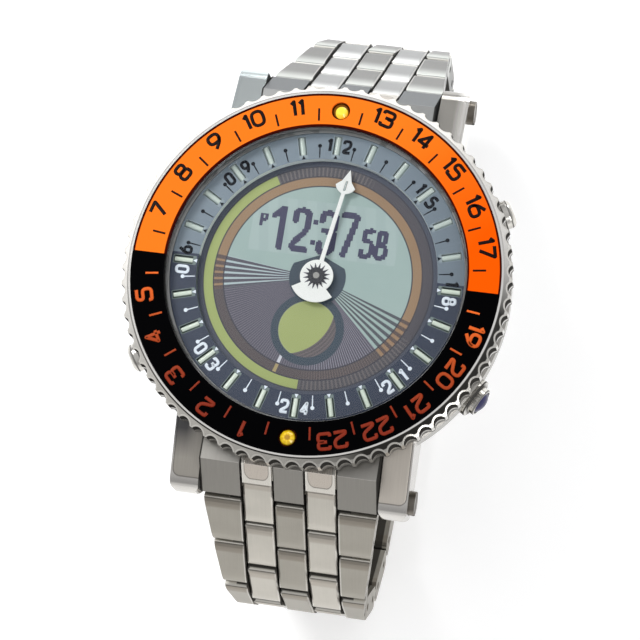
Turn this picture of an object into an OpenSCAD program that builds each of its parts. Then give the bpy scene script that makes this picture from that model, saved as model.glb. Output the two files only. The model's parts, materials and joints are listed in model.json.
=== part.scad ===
// World time wristwatch on a five-column steel bracelet, closed as on a wrist.
// The dial axis is the Z axis, 12 o'clock lies toward +Y and 3 o'clock toward +X.
// Z = 0 is the flat outer face of the folding clasp, on which the watch stands.
// All sizes are in millimetres.

/* [Bezel and insert] */
// Outer diameter over the scalloped edge
bezel_d = 48; // [46:0.5:50]
// Number of scallops round the edge
scallops = 72; // [48:6:96]
// Depth of each scallop
scallop_depth = 0.5; // [0.3:0.05:0.7]
// Width of the scalloped rim outside the insert
rim_w = 1.3; // [1.2:0.05:1.8]
// Width of the numeral insert
insert_w = 4.1; // [3.8:0.05:4.4]
// Thickness of the numeral insert
insert_t = 0.5; // [0.3:0.05:0.7]
// Diameter of the two marker pips
pip_d = 1.9; // [1.4:0.1:2.2]

/* [Crystal and dial] */
// Width of the ledge that carries the crystal
ledge_w = 0.3; // [0.2:0.05:0.5]
// Thickness of the crystal
crystal_t = 1.4; // [1:0.1:2]
// Width of the hour ring
hour_ring_w = 3.3; // [3.3:0.05:3.9]
// Thickness of the hour ring
dial_ring_t = 1; // [0.9:0.05:1.2]
// Diameter of one light tube
tube_d = 0.8; // [0.4:0.05:0.85]
// Length of one light tube
tube_len = 2.5; // [1.6:0.1:2.8]
// Thickness of the display glass
lcd_t = 0.9; // [0.6:0.05:1]

/* [Case] */
// How far the case band lies inside the bezel's edge
band_inset = 1.8; // [1.5:0.05:2]
// How far the two side flanges lie inside the bezel's edge
flange_inset = 0.3; // [0.2:0.05:0.8]
// Wall of the neck round the crystal, on which the bezel turns
neck_wall = 1.85; // [1.6:0.05:2]
// Thickness of the case back
back_t = 1.6; // [1.2:0.1:2]
// How far the case back lies inside the case band's edge
back_inset = 1.3; // [0.9:0.05:1.5]

/* [Lugs] */
// Gap between the lugs
lug_gap = 22.3; // [22:0.1:23]
// Width of one lug
lug_w = 3.6; // [3.2:0.1:4.6]
// Distance of the lug bars from the case band
bar_out = 2.9; // [2.7:0.05:3.3]
// Height of the lug bars above the case back's outer face
bar_z = 4.4; // [4.2:0.1:5]
// Radius of the rounded lug tip
lug_tip_r = 2.4; // [2.3:0.1:3]
// Diameter of the lug bars
bar_d = 1.5; // [1.2:0.1:1.8]

/* [Pushers] */
// Angle of the four pushers above and below the 3-9 line
pusher_angle = 29; // [26:1:32]
// Diameter of a pusher cap
pusher_d = 3.6; // [3.4:0.1:4]
// Travel of a pusher
pusher_travel = 0.8; // [0.6:0.05:1]
// Diameter of a pusher stem
stem_d = 1.5; // [1.2:0.1:1.8]

/* [Hand and wheels] */
// Length of the 24-hour hand from the axis to its tip
hand_len = 14; // [12:0.25:14.25]
// Angle of the hand, clockwise from 12
hand_angle = 8.5; // [0:0.5:360]
// Tooth module of the wheels
wheel_module = 0.25; // [0.2:0.01:0.28]
// Teeth on the hour wheel and on the idler wheel
wheel_teeth = 32; // [24:4:32]
// Teeth on the rotor's pinion
pinion_teeth = 8; // [8:1:10]

/* [Bracelet] */
// Distance from one hinge pin to the next
pin_pitch = 4; // [3.9:0.05:4.2]
// Thickness of a link
link_t = 3.2; // [2.8:0.1:3.3]
// Radius of the rounded link ends round a pin
link_end_r = 1.95; // [1.8:0.01:1.95]
// Distance between the centres of two columns
column_pitch = 3.95; // [3.8:0.05:4]
// Slit between two columns
column_slit = 0.3; // [0.2:0.02:0.4]
// Width of the bracelet at the clasp
clasp_w = 16.4; // [16:0.2:18]
// Length over which the bracelet narrows
taper_len = 26; // [20:1:40]
// Diameter of the hinge pins
pin_d = 0.9; // [0.7:0.05:1]
// Bevel along the columns' edges
column_bevel = 0.25; // [0.1:0.05:0.35]

/* [Clasp] */
// Thickness of the two folding blades
blade_t = 0.8; // [0.6:0.05:0.9]
// Thickness of the cover's base
cover_t = 0.9; // [0.7:0.05:1.1]
// Width of the blades
blade_w = 11; // [10:0.5:11.5]
// Thickness of the cover's side walls
cover_wall = 0.9; // [0.7:0.05:1]
// Travel of the release buttons
button_travel = 0.7; // [0.5:0.05:0.8]

/* [Hidden] */
$fn = 96;
eps = 0.01;
run_fit = 0.05;         // radial clearance of a pin or shaft that turns
seat_fit = 0.05;        // clearance of a piece that is seated and doesn't move
face_gap = 0.1;         // clearance between faces that pass each other

// Fall of each bracelet row below the horizontal, from the case to the clasp
fall_12 = [56, 56, 55, 55, 57, 65, 81, 99, 116, 133, 150, 173];
fall_6 = [56, 57, 58, 59, 69, 82, 97, 112, 127, 142, 157, 166];
rows = len(fall_12);

// Heights in the case's own frame, from the case back's outer face
band_top = back_t + 7.7;
bezel_gap = 0.2;
neck_top = band_top + 3.05;
gasket_t = 0.15;
crystal_proud = 0.85;   // over the neck
crystal_z = neck_top + crystal_proud - crystal_t;
ledge_z = crystal_z - gasket_t;
crystal_bevel = 0.2;
web_z = neck_top + face_gap;
web_t = 0.35;
insert_z = web_z + web_t;
bezel_top = insert_z + insert_t + 0.05;
dial_top = ledge_z - seat_fit;
dial_ring_z = dial_top - dial_ring_t;
lcd_top = dial_ring_z - face_gap;
lcd_z = lcd_top - lcd_t;
board_t = 0.8;
board_z = lcd_z - face_gap - board_t;
holder_floor_t = 0.8;
battery_t = 1.6;
clamp_t = 0.2;
clamp_z = back_t + 0.15;
battery_z = clamp_z + clamp_t;
holder_floor_z = battery_z + battery_t + 0.05;
wheel_z = holder_floor_z + holder_floor_t + 0.4;
wheel_t = 0.5;
hand_t = 0.2;
hand_z = dial_top - hand_t - 0.25;

// Radii
bezel_r = bezel_d / 2;
scallop_r = 0.97;
insert_r = bezel_r - rim_w;
insert_inner_r = insert_r - insert_w;
crystal_r = insert_inner_r - face_gap;
cavity_r = crystal_r - ledge_w;
crystal_bore_r = crystal_r + seat_fit;
neck_r = crystal_bore_r + neck_wall;
case_r = bezel_r - band_inset;
back_r = case_r - back_inset;
bar_y = case_r + bar_out;
dial_ring_r = cavity_r - seat_fit;
dial_ring_inner_r = dial_ring_r - hour_ring_w;
lcd_r = dial_ring_inner_r + 0.85;
holder_r = cavity_r - seat_fit;
holder_inner_r = lcd_r + seat_fit;
pipe_r = 1;
hub_r = 2.05;           // of the hand
tail_r = 3.3;           // of the sector behind the hub
tail_half = 52;         // half of the sector's angle
post_r = 0.45;
battery_r = 10;
tube_track_r = dial_ring_r - tube_len / 2 - 0.4;
pip_r = pip_d / 2;
pip_track_r = (insert_r + insert_inner_r) / 2;
flange_r = bezel_r - flange_inset;
back_gasket_in_r = cavity_r + 0.6;
back_gasket_out_r = cavity_r + 1.6;
back_gasket_t = 0.35;
click_spring_t = 0.2;
click_groove_t = 0.25;
click_groove_r = case_r - 0.65;

// Lugs and their bars
lug_slope = 18;         // of the lug's top, in degrees
lug_far = lug_gap / 2 + lug_w;
lug_corner_r = 0.9;     // of the lug's tip, seen from above
lug_overlap = 0.15;     // of the side flanges into the lugs
bar_head_r = 1.5;
bar_head_sunk = 0.8;

// Wheels: the idler and the rotor stand beside the hour wheel
wheel_gap = wheel_module * wheel_teeth;
idler_at = wheel_gap * [cos(210), sin(210)];
rotor_gap = wheel_module * (wheel_teeth + pinion_teeth) / 2;
rotor_at = idler_at + rotor_gap * [cos(330), sin(330)];
post_top = wheel_z + wheel_t + 0.3;
// Where the idler's teeth stand in the direction of the rotor, as a share of one tooth
idler_share = ((330 - 30 - 180 / wheel_teeth) * wheel_teeth / 360) % 1;
rotor_phase = (0.5 + idler_share) * 360 / pinion_teeth;

// Pushers, measured from the dial axis
pusher_z = band_top - 2.9;
collar_r = 2.5;
collar_in = case_r + face_gap;
collar_out = flange_r + 0.35;
cap_r = pusher_d / 2;
cap_in = collar_out - 0.2;
cap_len = 1.5;
cap_round_r = 0.7;
cap_bore_in = cap_in - pusher_travel - face_gap;
sleeve_r = stem_d / 2 + 0.75;
stem_in = cavity_r - 1.2;
stop_r = 1.15;
stone_r = cap_r - 0.3;
stone_rise = 0.65;      // of the dome over its edge
stone_seat = 0.65;      // from the cap's inner face
pusher_places = [pusher_angle, -pusher_angle, 180 - pusher_angle, 180 + pusher_angle];

// Bracelet
bar_hole_r = bar_d / 2 + run_fit;
pin_hole_r = pin_d / 2 + run_fit;
column_w = column_pitch - column_slit;
end_link_w = lug_gap - 2 * face_gap;
outer_x = 1.5 * column_pitch + column_slit / 2;
pin_recess = 0.3;
// Shoulder of a crowned link end, as shares of the end radius and of half the thickness
crown_shape = [[0.923, 0.72], [0.87, 0.82], [0.76, 0.89], [0.59, 0.95], [0.36, 0.985], [0.15, 1]];

// Clasp, heights from the hinge line at its two ends
cover_z = -2;
blade_low_z = -0.45;
blade_high_z = 0.55;
fold_low_z = -0.35;
fold_high_z = 0.45;
fold_low_r = 0.67;
fold_high_r = 0.8;
fold_pin_r = 0.35;
fold_leg = 0.9;         // the cover's legs reach round the fold pin's hole
fold_low_in = 4.2;
fold_high_in = 4.6;
cover_in = 2.3;
cover_w = clasp_w + 1.2;
tongue_w = 2 * outer_x - column_slit - 0.2;
wall_top = 1.2;
button_y = 6;
button_len = 5;
button_h = 1.5;
button_z = -0.2;

// A point of the bracelet's hinge line: distance outward and height over the case back
function row_step(fall) = pin_pitch * [cos(fall), -sin(fall)];
function hinge(falls, k) = k == 0 ? [bar_y, bar_z] : hinge(falls, k - 1) + row_step(falls[k - 1]);

end_12 = hinge(fall_12, rows);
end_6 = hinge(fall_6, rows);
head_z = -end_6[1] - cover_z;

// Distances of the clasp's folds along Y
low_y = -end_6[0];
high_y = end_12[0];
fold_low_y = low_y + fold_low_in;
fold_high_y = high_y - fold_high_in;
knuckle_w = blade_w / 3 - 0.1;
fold_leg_w = knuckle_w - 0.2;

// Width of the bracelet at a distance along it from the lug bar
function strap_w(s) = end_link_w - (end_link_w - clasp_w) * min(1, s / taper_len);

function two(k) = k < 10 ? str("0", k) : str(k);
link_names_12 = [for (k = [1 : rows]) str("link_12_", two(k))];
link_names_6 = [for (k = [1 : rows]) str("link_6_", two(k))];
pusher_names = ["pusher_upper_right", "pusher_lower_right", "pusher_upper_left", "pusher_lower_left"];

// Places a piece that is drawn in the case's own frame
module head() {
    translate([0, 0, head_z]) children();
}

// A flat ring
module ring(r_out, r_in, t) {
    linear_extrude(t) difference() {
        circle(r_out);
        circle(r_in);
    }
}

// A cylinder along X, centred on the origin
module cross_bar(r, len) {
    rotate([0, 90, 0]) cylinder(r = r, h = len, center = true);
}

// Turns a side profile, drawn as distance outward and height, into a bar along X
module side_profile(w) {
    translate([-w / 2, 0, 0]) rotate([90, 0, 90]) linear_extrude(w) children();
}

// Mirrors a 12 o'clock piece to the 6 o'clock side
module to_side(is_12) {
    if (is_12) children();
    else mirror([0, 1, 0]) children();
}

// Sends a piece that is drawn along Z out along a pusher's axis
module at_pusher(angle) {
    rotate([0, 0, angle]) translate([0, 0, pusher_z]) rotate([0, 90, 0]) children();
}

// Case

module lug_profile() {
    translate([bar_y, bar_z]) circle(lug_tip_r);
    polygon([
        [case_r - 5, bar_z - lug_tip_r + 0.4],
        [bar_y, bar_z - lug_tip_r],
        [bar_y + lug_tip_r * sin(lug_slope), bar_z + lug_tip_r * cos(lug_slope)],
        [case_r - 5, min(band_top, bar_z + lug_tip_r + (bar_y - case_r + 5) * tan(lug_slope))]
    ]);
}

module case_band() {
    rotate_extrude() polygon([
        [cavity_r, back_t], [case_r - 0.9, back_t], [case_r, back_t + 1],
        [case_r, band_top - 0.7], [case_r - 0.6, band_top],
        [neck_r, band_top], [neck_r, neck_top], [crystal_bore_r, neck_top],
        [crystal_bore_r, ledge_z], [cavity_r, ledge_z]
    ]);
}

// The case's side, which widens from the case back up to the bezel
module side_flanges() {
    intersection() {
        rotate_extrude() polygon([
            [case_r - 1, back_t + 1.8], [flange_r, band_top - 2.3], [flange_r, band_top - 0.4],
            [flange_r - 0.4, band_top], [case_r - 1, band_top]
        ]);
        for (s = [-1, 1]) translate([s * (lug_far - lug_overlap + bezel_r), 0, 0])
            cube([2 * bezel_r, 2 * bezel_r, 4 * band_top], center = true);
    }
}

// A lug from above, with rounded corners at its tip
module lug_outline() {
    x = lug_w / 2 - lug_corner_r;
    y = bar_y + lug_tip_r + eps - lug_corner_r;
    polygon(concat(
        [[-lug_w, case_r - 6], [lug_w, case_r - 6], [lug_w, case_r], [lug_w / 2 + eps, case_r]],
        [for (t = [0 : 15 : 90]) [x + eps, y] + lug_corner_r * [cos(t), sin(t)]],
        [for (t = [90 : 15 : 180]) [-x - eps, y] + lug_corner_r * [cos(t), sin(t)]],
        [[-lug_w / 2 - eps, case_r], [-lug_w, case_r]]
    ));
}

module four_lugs() {
    lug_x = (lug_gap + lug_w) / 2;
    for (x = [-lug_x, lug_x], is_12 = [true, false])
        to_side(is_12) translate([x, 0, 0]) intersection() {
            side_profile(lug_w) lug_profile();
            linear_extrude(2 * band_top) lug_outline();
        }
}

module case_middle() {
    color("silver") head() difference() {
        union() {
            case_band();
            side_flanges();
            difference() {
                four_lugs();
                translate([0, 0, -1]) cylinder(r = case_r - 1, h = neck_top + 2);
            }
        }
        for (s = [-1, 1]) translate([0, s * bar_y, bar_z]) {
            cross_bar(bar_hole_r, 2 * lug_far + 2);
            translate([lug_far, 0, 0]) cross_bar(bar_head_r + seat_fit, 2 * bar_head_sunk);
        }
        for (a = pusher_places) at_pusher(a) {
            cylinder(r = sleeve_r + seat_fit, h = flange_r + 2);
            translate([0, 0, collar_in]) cylinder(r = collar_r + seat_fit, h = 5);
        }
        translate([0, 0, band_top - click_groove_t]) ring(click_groove_r, neck_r - eps, 1);
    }
}

module case_back() {
    color("silver") head() difference() {
        union() {
            rotate_extrude() polygon([
                [0, 0], [back_r - 1.2, 0], [back_r, 0.7], [back_r, back_t],
                [0, back_t]
            ]);
            translate([0, 0, back_t]) cylinder(r = cavity_r - seat_fit, h = 0.1);
        }
        translate([0, 0, back_t - back_gasket_t]) ring(back_gasket_out_r, back_gasket_in_r, 1);
        for (a = [0 : 60 : 300]) rotate([0, 0, a])
            translate([back_r - 3, -1.3, -eps]) cube([1.8, 2.6, 0.6]);
        translate([0, 0, -eps]) cylinder(r = back_r - 7.9, h = 0.15);
    }
}

module case_back_gasket() {
    color("dimgray") head() translate([0, 0, back_t - back_gasket_t])
        ring(back_gasket_out_r - seat_fit, back_gasket_in_r + seat_fit, back_gasket_t);
}

module crystal() {
    color("azure", 0.3) head() translate([0, 0, crystal_z]) rotate_extrude() polygon([
        [0, 0], [crystal_r, 0], [crystal_r, crystal_t - crystal_bevel],
        [crystal_r - crystal_bevel, crystal_t], [0, crystal_t]
    ]);
}

module crystal_gasket() {
    color("black") head() translate([0, 0, ledge_z]) ring(crystal_r, cavity_r, gasket_t);
}

module lug_bars() {
    slot_depth = 0.2;
    slot_w = 0.4;
    head_len = 1.45;
    end_sunk = 0.6;
    color("gray") head() for (s = [-1, 1]) translate([0, s * bar_y, bar_z]) {
        difference() {
            union() {
                translate([-lug_far + end_sunk, 0, 0]) rotate([0, 90, 0])
                    cylinder(r = bar_d / 2, h = 2 * (lug_far - end_sunk));
                translate([lug_far - bar_head_sunk + seat_fit, 0, 0]) rotate([0, 90, 0])
                    cylinder(r = bar_head_r, h = head_len);
            }
            translate([lug_far - bar_head_sunk + head_len - slot_depth, -2, -slot_w / 2])
                cube([2, 4, slot_w]);
        }
    }
}

// Bezel

module bezel_ring() {
    color("silver") head() difference() {
        rotate_extrude() polygon([
            [neck_r + run_fit, band_top + bezel_gap], [bezel_r - 0.5, band_top + bezel_gap],
            [bezel_r, band_top + bezel_gap + 0.5], [bezel_r, bezel_top - 0.9],
            [insert_r + 0.35, bezel_top], [insert_r + seat_fit, bezel_top],
            [insert_r + seat_fit, insert_z], [insert_inner_r + 0.1, insert_z],
            [insert_inner_r + 0.1, web_z], [neck_r + run_fit, web_z]
        ]);
        for (k = [0 : scallops - 1]) rotate([0, 0, (k + 0.5) * 360 / scallops])
            translate([bezel_r + scallop_r - scallop_depth, 0, band_top])
                cylinder(r = scallop_r, h = 6, $fn = 32);
    }
}

module bezel_insert() {
    color("orangered") head() translate([0, 0, insert_z]) difference() {
        ring(insert_r, insert_inner_r, insert_t);
        for (s = [-1, 1]) translate([0, s * pip_track_r, -eps])
            cylinder(r = pip_r + 0.2, h = insert_t + 2 * eps);
    }
}

module bezel_pips() {
    color("gold") head() for (s = [-1, 1]) translate([0, s * pip_track_r, insert_z])
        rotate_extrude() polygon([
            [0, 0], [pip_r, 0], [pip_r, insert_t * 0.35],
            [pip_r * 0.55, insert_t * 0.9], [0, insert_t * 0.9]
        ]);
}

module bezel_click_spring() {
    color("gray") head() translate([0, 0, band_top - click_groove_t]) difference() {
        ring(click_groove_r - seat_fit, neck_r + seat_fit, click_spring_t);
        for (a = [0, 120, 240]) rotate([0, 0, a])
            translate([neck_r + 0.55, 0, -1]) cylinder(r = 0.35, h = 2);
    }
}

// Dial and movement

module dial_ring() {
    color("slategray") head() translate([0, 0, dial_ring_z]) difference() {
        rotate_extrude() polygon([
            [dial_ring_inner_r, 0], [dial_ring_r, 0], [dial_ring_r, dial_ring_t],
            [dial_ring_inner_r + 0.15, dial_ring_t],
            [dial_ring_inner_r, dial_ring_t - 0.15]
        ]);
        for (a = [0 : 15 : 345]) rotate([0, 0, a])
            translate([tube_track_r - tube_len / 2 - 0.1, -tube_d / 2 - 0.08, dial_ring_t - tube_d])
                cube([tube_len + 0.2, tube_d + 0.16, tube_d + 1]);
    }
}

module light_tubes() {
    color("honeydew") head() translate([0, 0, dial_top - tube_d / 2])
        for (a = [0 : 15 : 345]) rotate([0, 0, a]) translate([tube_track_r, 0, 0])
            cross_bar(tube_d / 2 - 0.01, tube_len);
}

module lcd_panel() {
    color("darkseagreen") head() translate([0, 0, lcd_z]) ring(lcd_r, pipe_r + 0.3, lcd_t);
}

module module_holder() {
    color("dimgray") head() difference() {
        union() {
            translate([0, 0, battery_z])
                ring(holder_r, holder_inner_r, dial_ring_z - battery_z);
            translate([0, 0, holder_floor_z])
                cylinder(r = holder_inner_r + 0.1, h = holder_floor_t);
            for (p = [[0, 0], idler_at, rotor_at])
                translate([p[0], p[1], holder_floor_z])
                    cylinder(r = post_r, h = post_top - holder_floor_z);
        }
        for (a = pusher_places)
            at_pusher(a) translate([0, 0, holder_inner_r - 0.3]) cylinder(r = 1.4, h = 4);
    }
}

module circuit_board() {
    color("darkgreen") head() translate([0, 0, board_z]) {
        ring(lcd_r, pipe_r + 0.3, board_t);
        translate([5, -3, -1]) cube([5, 5, 1]);
        for (x = [-9, -6.5]) translate([x, 7, -0.7]) cube([1.6, 2.6, 0.7]);
    }
}

module battery() {
    color("silver") head() translate([0, 0, battery_z]) {
        cylinder(r = battery_r, h = battery_t - 0.3);
        translate([0, 0, battery_t - 0.3]) cylinder(r = battery_r - 1.2, h = 0.3);
    }
}

module battery_clamp() {
    arm_w = 4;
    color("gold") head() translate([0, 0, clamp_z]) difference() {
        translate([-holder_inner_r - 1.2, -arm_w / 2, 0])
            cube([2 * holder_inner_r + 2.4, arm_w, clamp_t]);
        for (s = [-1, 1]) translate([s * (holder_inner_r + 0.4), 0, -1])
            cylinder(r = 0.5, h = 3);
    }
}

module motor_stator() {
    color("peru") head() translate([rotor_at[0], rotor_at[1], wheel_z - 0.3]) {
        difference() {
            translate([-3, -7.2, 0]) cube([6, 6.4, 0.25]);
            translate([0, 0, -1]) cylinder(r = 1.6, h = 3);
        }
        translate([-4.5, -7, 0.25]) cube([9, 2.4, 1.2]);
    }
}

// Wheels, with straight-flanked teeth and generous backlash

module spur_wheel(teeth, t) {
    pitch_r = wheel_module * teeth / 2;
    root_r = pitch_r - 1.3 * wheel_module;
    tip_r = pitch_r + 0.8 * wheel_module;
    root_w = 0.42 * PI * wheel_module;
    tip_w = 0.16 * PI * wheel_module;
    linear_extrude(t) {
        circle(root_r);
        for (k = [0 : teeth - 1]) rotate(k * 360 / teeth) polygon([
            [root_r * 0.8, -root_w / 2], [root_r, -root_w / 2], [tip_r, -tip_w / 2],
            [tip_r, tip_w / 2], [root_r, root_w / 2], [root_r * 0.8, root_w / 2]
        ]);
    }
}

module hour_wheel() {
    top = hand_z + hand_t + 0.25;
    color("gold") head() difference() {
        union() {
            translate([0, 0, wheel_z]) rotate([0, 0, 210]) spur_wheel(wheel_teeth, wheel_t);
            translate([0, 0, wheel_z]) cylinder(r = pipe_r, h = hand_z - wheel_z);
            translate([0, 0, hand_z - eps]) cylinder(r = pipe_r * 0.7, h = top - hand_z);
        }
        translate([0, 0, wheel_z - 1])
            cylinder(r = post_r + run_fit, h = post_top - wheel_z + 1.2);
    }
}

module idler_wheel() {
    color("gold") head() translate([idler_at[0], idler_at[1], wheel_z]) difference() {
        rotate([0, 0, 30 + 180 / wheel_teeth]) spur_wheel(wheel_teeth, wheel_t);
        translate([0, 0, -1]) cylinder(r = post_r + run_fit, h = 3);
    }
}

module motor_rotor() {
    color("gray") head() translate([rotor_at[0], rotor_at[1], wheel_z]) difference() {
        union() {
            rotate([0, 0, 150 + rotor_phase]) spur_wheel(pinion_teeth, wheel_t);
            translate([0, 0, wheel_t]) cylinder(r = 1.2, h = 0.25);
        }
        translate([0, 0, -1]) cylinder(r = post_r + run_fit, h = 3);
    }
}

// A thin shaft with a barbed head, and a wide sector behind the hub
module hand_outline() {
    half = [[0.27, 0], [0.23, 3.15], [0.72, 2.9], [1.05, 2.6], [1.25, 2.2], [0.62, 1.55], [0.4, 1]];
    side = [for (p = half) [p[0], p == half[0] ? 0 : hand_len - p[1]]];
    polygon(concat(
        side, [[0, hand_len]],
        [for (k = [len(side) - 1 : -1 : 0]) [-side[k][0], side[k][1]]]
    ));
    circle(hub_r);
    intersection() {
        circle(tail_r);
        polygon([[0, 0], 2 * tail_r * [sin(tail_half), -cos(tail_half)],
                 2 * tail_r * [-sin(tail_half), -cos(tail_half)]]);
    }
}

module day_hand() {
    color("white") head() translate([0, 0, hand_z]) rotate([0, 0, -hand_angle])
        linear_extrude(hand_t) difference() {
            hand_outline();
            circle(pipe_r * 0.7 + 0.02);
            translate([-0.15, hand_len - 2.75]) square([0.3, 1.3]);
        }
}

// Pushers

module pusher_tubes() {
    color("silver") head() for (a = pusher_places) at_pusher(a) difference() {
        union() {
            translate([0, 0, collar_in + seat_fit])
                cylinder(r = collar_r, h = collar_out - collar_in - seat_fit);
            translate([0, 0, cavity_r + 0.3]) cylinder(r = sleeve_r, h = collar_in - cavity_r);
        }
        cylinder(r = stem_d / 2 + run_fit, h = collar_out + 1);
        translate([0, 0, cap_bore_in]) cylinder(r = cap_r + run_fit, h = 3);
    }
}

// Side profile of a cap: domed, or a short cup for the stone
module cap_profile(has_stone) {
    polygon(concat(
        [[0, 0], [cap_r - 0.1, 0], [cap_r, 0.1]],
        has_stone
            ? [[cap_r, stone_seat + 0.3], [cap_r - 0.1, stone_seat + 0.4]]
            : [for (t = [0 : 15 : 90])
                [cap_r - cap_round_r * (1 - cos(t)), cap_len - cap_round_r * (1 - sin(t))]],
        [[0, has_stone ? stone_seat + 0.4 : cap_len]]
    ));
}

module pusher(index) {
    has_stone = index == 1;
    color("silver") head() at_pusher(pusher_places[index]) {
        translate([0, 0, stem_in]) cylinder(r = stem_d / 2, h = cap_in - stem_in + 0.2);
        translate([0, 0, stem_in + 0.2]) cylinder(r = stop_r, h = 0.35);
        translate([0, 0, cap_in]) difference() {
            rotate_extrude() cap_profile(has_stone);
            if (has_stone)
                translate([0, 0, stone_seat]) cylinder(r = stone_r + seat_fit, h = 1);
        }
    }
}

module cabochon() {
    dome_r = (stone_r * stone_r + stone_rise * stone_rise) / (2 * stone_rise);
    color("royalblue") head() at_pusher(pusher_places[1])
        translate([0, 0, cap_in + stone_seat]) intersection() {
            cylinder(r = stone_r, h = 2);
            translate([0, 0, 0.25 + stone_rise - dome_r]) sphere(dome_r);
        }
}

// Bracelet

// Half of a crowned link end, from its inner face round the tip and over the shoulder
crown_half = concat(
    [[sqrt(link_end_r * link_end_r - link_t * link_t / 4), -link_t / 2]],
    [for (t = [-50 : 10 : 0]) link_end_r * [cos(t), sin(t)]],
    [for (p = crown_shape) [p[0] * link_end_r, p[1] * link_t / 2]]
);
round_half = [[0, -link_t / 2], [0, link_t / 2]];

// Side profile of a link from one pin to the next; each end is crowned or plain round
module link_profile(from, to, crown_from = false, crown_to = false) {
    start = crown_from ? crown_half : round_half;
    stop = crown_to ? crown_half : round_half;
    intersection() {
        translate([from - 4, -link_t / 2]) square([to - from + 8, link_t]);
        union() {
            if (!crown_from) translate([from, 0]) circle(link_end_r);
            if (!crown_to) translate([to, 0]) circle(link_end_r);
            polygon(concat(
                [for (p = stop) [to + p[0], p[1]]],
                [for (k = [len(start) - 1 : -1 : 0]) [from - start[k][0], start[k][1]]]
            ));
        }
    }
}

// Cross-section of a column, bevelled along its outer edges
module column_section(w) {
    polygon([
        [-w / 2, -link_t], [w / 2, -link_t], [w / 2, link_t / 2 - column_bevel],
        [w / 2 - column_bevel, link_t / 2], [-w / 2 + column_bevel, link_t / 2],
        [-w / 2, link_t / 2 - column_bevel]
    ]);
}

// One inner column piece; its first pin is at the origin and its second at length
module column_piece(x, len, crown_from, crown_to) {
    translate([x, 0, 0]) intersection() {
        side_profile(column_w) link_profile(0, len, crown_from, crown_to);
        translate([0, 2 * len + link_t, 0]) rotate([90, 0, 0]) linear_extrude(4 * len + 2 * link_t)
            column_section(column_w);
    }
}

// The pair of outer column pieces, narrowing from one row to the next
module outer_pieces(s, len, crown_to) {
    w_start = strap_w(s - link_end_r);
    w_end = strap_w(s + len + link_end_r);
    for (m = [0, 1]) mirror([m, 0, 0]) intersection() {
        translate([outer_x + 5, 0, 0]) side_profile(10) link_profile(0, len, true, crown_to);
        translate([0, 0, -link_t]) linear_extrude(2 * link_t) polygon([
            [0, -link_end_r - eps], [w_start / 2, -link_end_r - eps],
            [w_end / 2, len + link_end_r + eps], [0, len + link_end_r + eps]
        ]);
    }
}

// Holes for the two pins of a piece
module pin_holes(first_r) {
    cross_bar(first_r, 40);
    translate([0, pin_pitch, 0]) cross_bar(pin_hole_r, 40);
}

// Even rows: three columns and the two pins that they hold
module wide_row(k) {
    s = (k - 1) * pin_pitch;
    is_last = k == rows;
    difference() {
        union() {
            outer_pieces(s, pin_pitch, !is_last);
            if (!is_last) column_piece(0, pin_pitch, true, true);
        }
        pin_holes(pin_hole_r);
    }
    if (is_last) difference() {
        side_profile(column_w) intersection() {
            link_profile(0, pin_pitch, true);
            translate([-3, -3]) square([3 + pin_pitch - link_end_r - 0.4, 6]);
        }
        cross_bar(pin_hole_r, 40);
    }
    for (i = [0, 1]) if (i == 0 || !is_last)
        translate([0, i * pin_pitch, 0])
            cross_bar(pin_d / 2, strap_w(s + i * pin_pitch) - 2 * pin_recess);
}

// Odd rows: two columns that turn on their neighbours' pins
module narrow_row(k) {
    difference() {
        for (x = [-column_pitch, column_pitch]) column_piece(x, pin_pitch, k > 1, k < rows - 1);
        pin_holes(k == 1 ? bar_hole_r : pin_hole_r);
    }
}

// A row in its place on one side of the bracelet
module link_row(falls, is_12, k) {
    at = hinge(falls, k - 1);
    color(k % 2 == 0 ? "darkgray" : "gainsboro") head()
        to_side(is_12) translate([0, at[0], at[1]]) rotate([-falls[k - 1], 0, 0])
            if (k % 2 == 0) wide_row(k);
            else narrow_row(k);
}

// End link between the lugs, drawn on the 12 o'clock side
module end_link(is_12) {
    fall = fall_12[0];
    face_y = bar_y + link_t / 2 * sin(fall);
    face_z = bar_z + link_t / 2 * cos(fall);
    top = band_top - 0.1;
    color("darkgray") head() to_side(is_12) difference() {
        union() {
            side_profile(end_link_w) polygon([
                [case_r - 4, top], [face_y - (top - face_z) / tan(fall) + 0.5, top],
                [face_y + 0.5, face_z], [bar_y + 0.9, bar_z - 0.4],
                [bar_y - 0.3, bar_z - link_end_r + 0.1], [case_r - 4, bar_z - link_end_r + 0.1]
            ]);
            translate([0, bar_y, bar_z]) cross_bar(link_end_r, end_link_w);
        }
        translate([0, face_y, face_z]) rotate([-fall, 0, 0])
            translate([-end_link_w, -2 * link_t, 0]) cube([2 * end_link_w, 4 * link_t, 3 * link_t]);
        translate([0, 0, -1]) cylinder(r = case_r + face_gap, h = 20);
        translate([0, bar_y, bar_z]) cross_bar(bar_hole_r, 2 * end_link_w);
        for (x = [-column_pitch, column_pitch]) translate([x, bar_y, bar_z])
            cross_bar(link_end_r + 0.15, column_w + 2 * column_slit);
        for (x = [-1.5, -0.5, 0.5, 1.5] * column_pitch)
            translate([x, face_y, face_z]) rotate([-fall, 0, 0])
                translate([-column_slit / 2, -20, -0.5]) cube([column_slit, 40, 5]);
    }
}

// Clasp, drawn with the hinge line at height 0 and the 6 o'clock end at low Y

module at_clasp() {
    translate([0, 0, -cover_z]) children();
}

// Knuckles of one leaf of a fold: the middle one or the outer two
module knuckles(y, z, r, is_middle) {
    xs = is_middle ? [0] : [-blade_w / 3, blade_w / 3];
    for (x = xs) translate([x, y, z]) cross_bar(r, knuckle_w);
}

module plate(y0, y1, z, t, w) {
    translate([-w / 2, y0, z]) cube([w, y1 - y0, t]);
}

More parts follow.
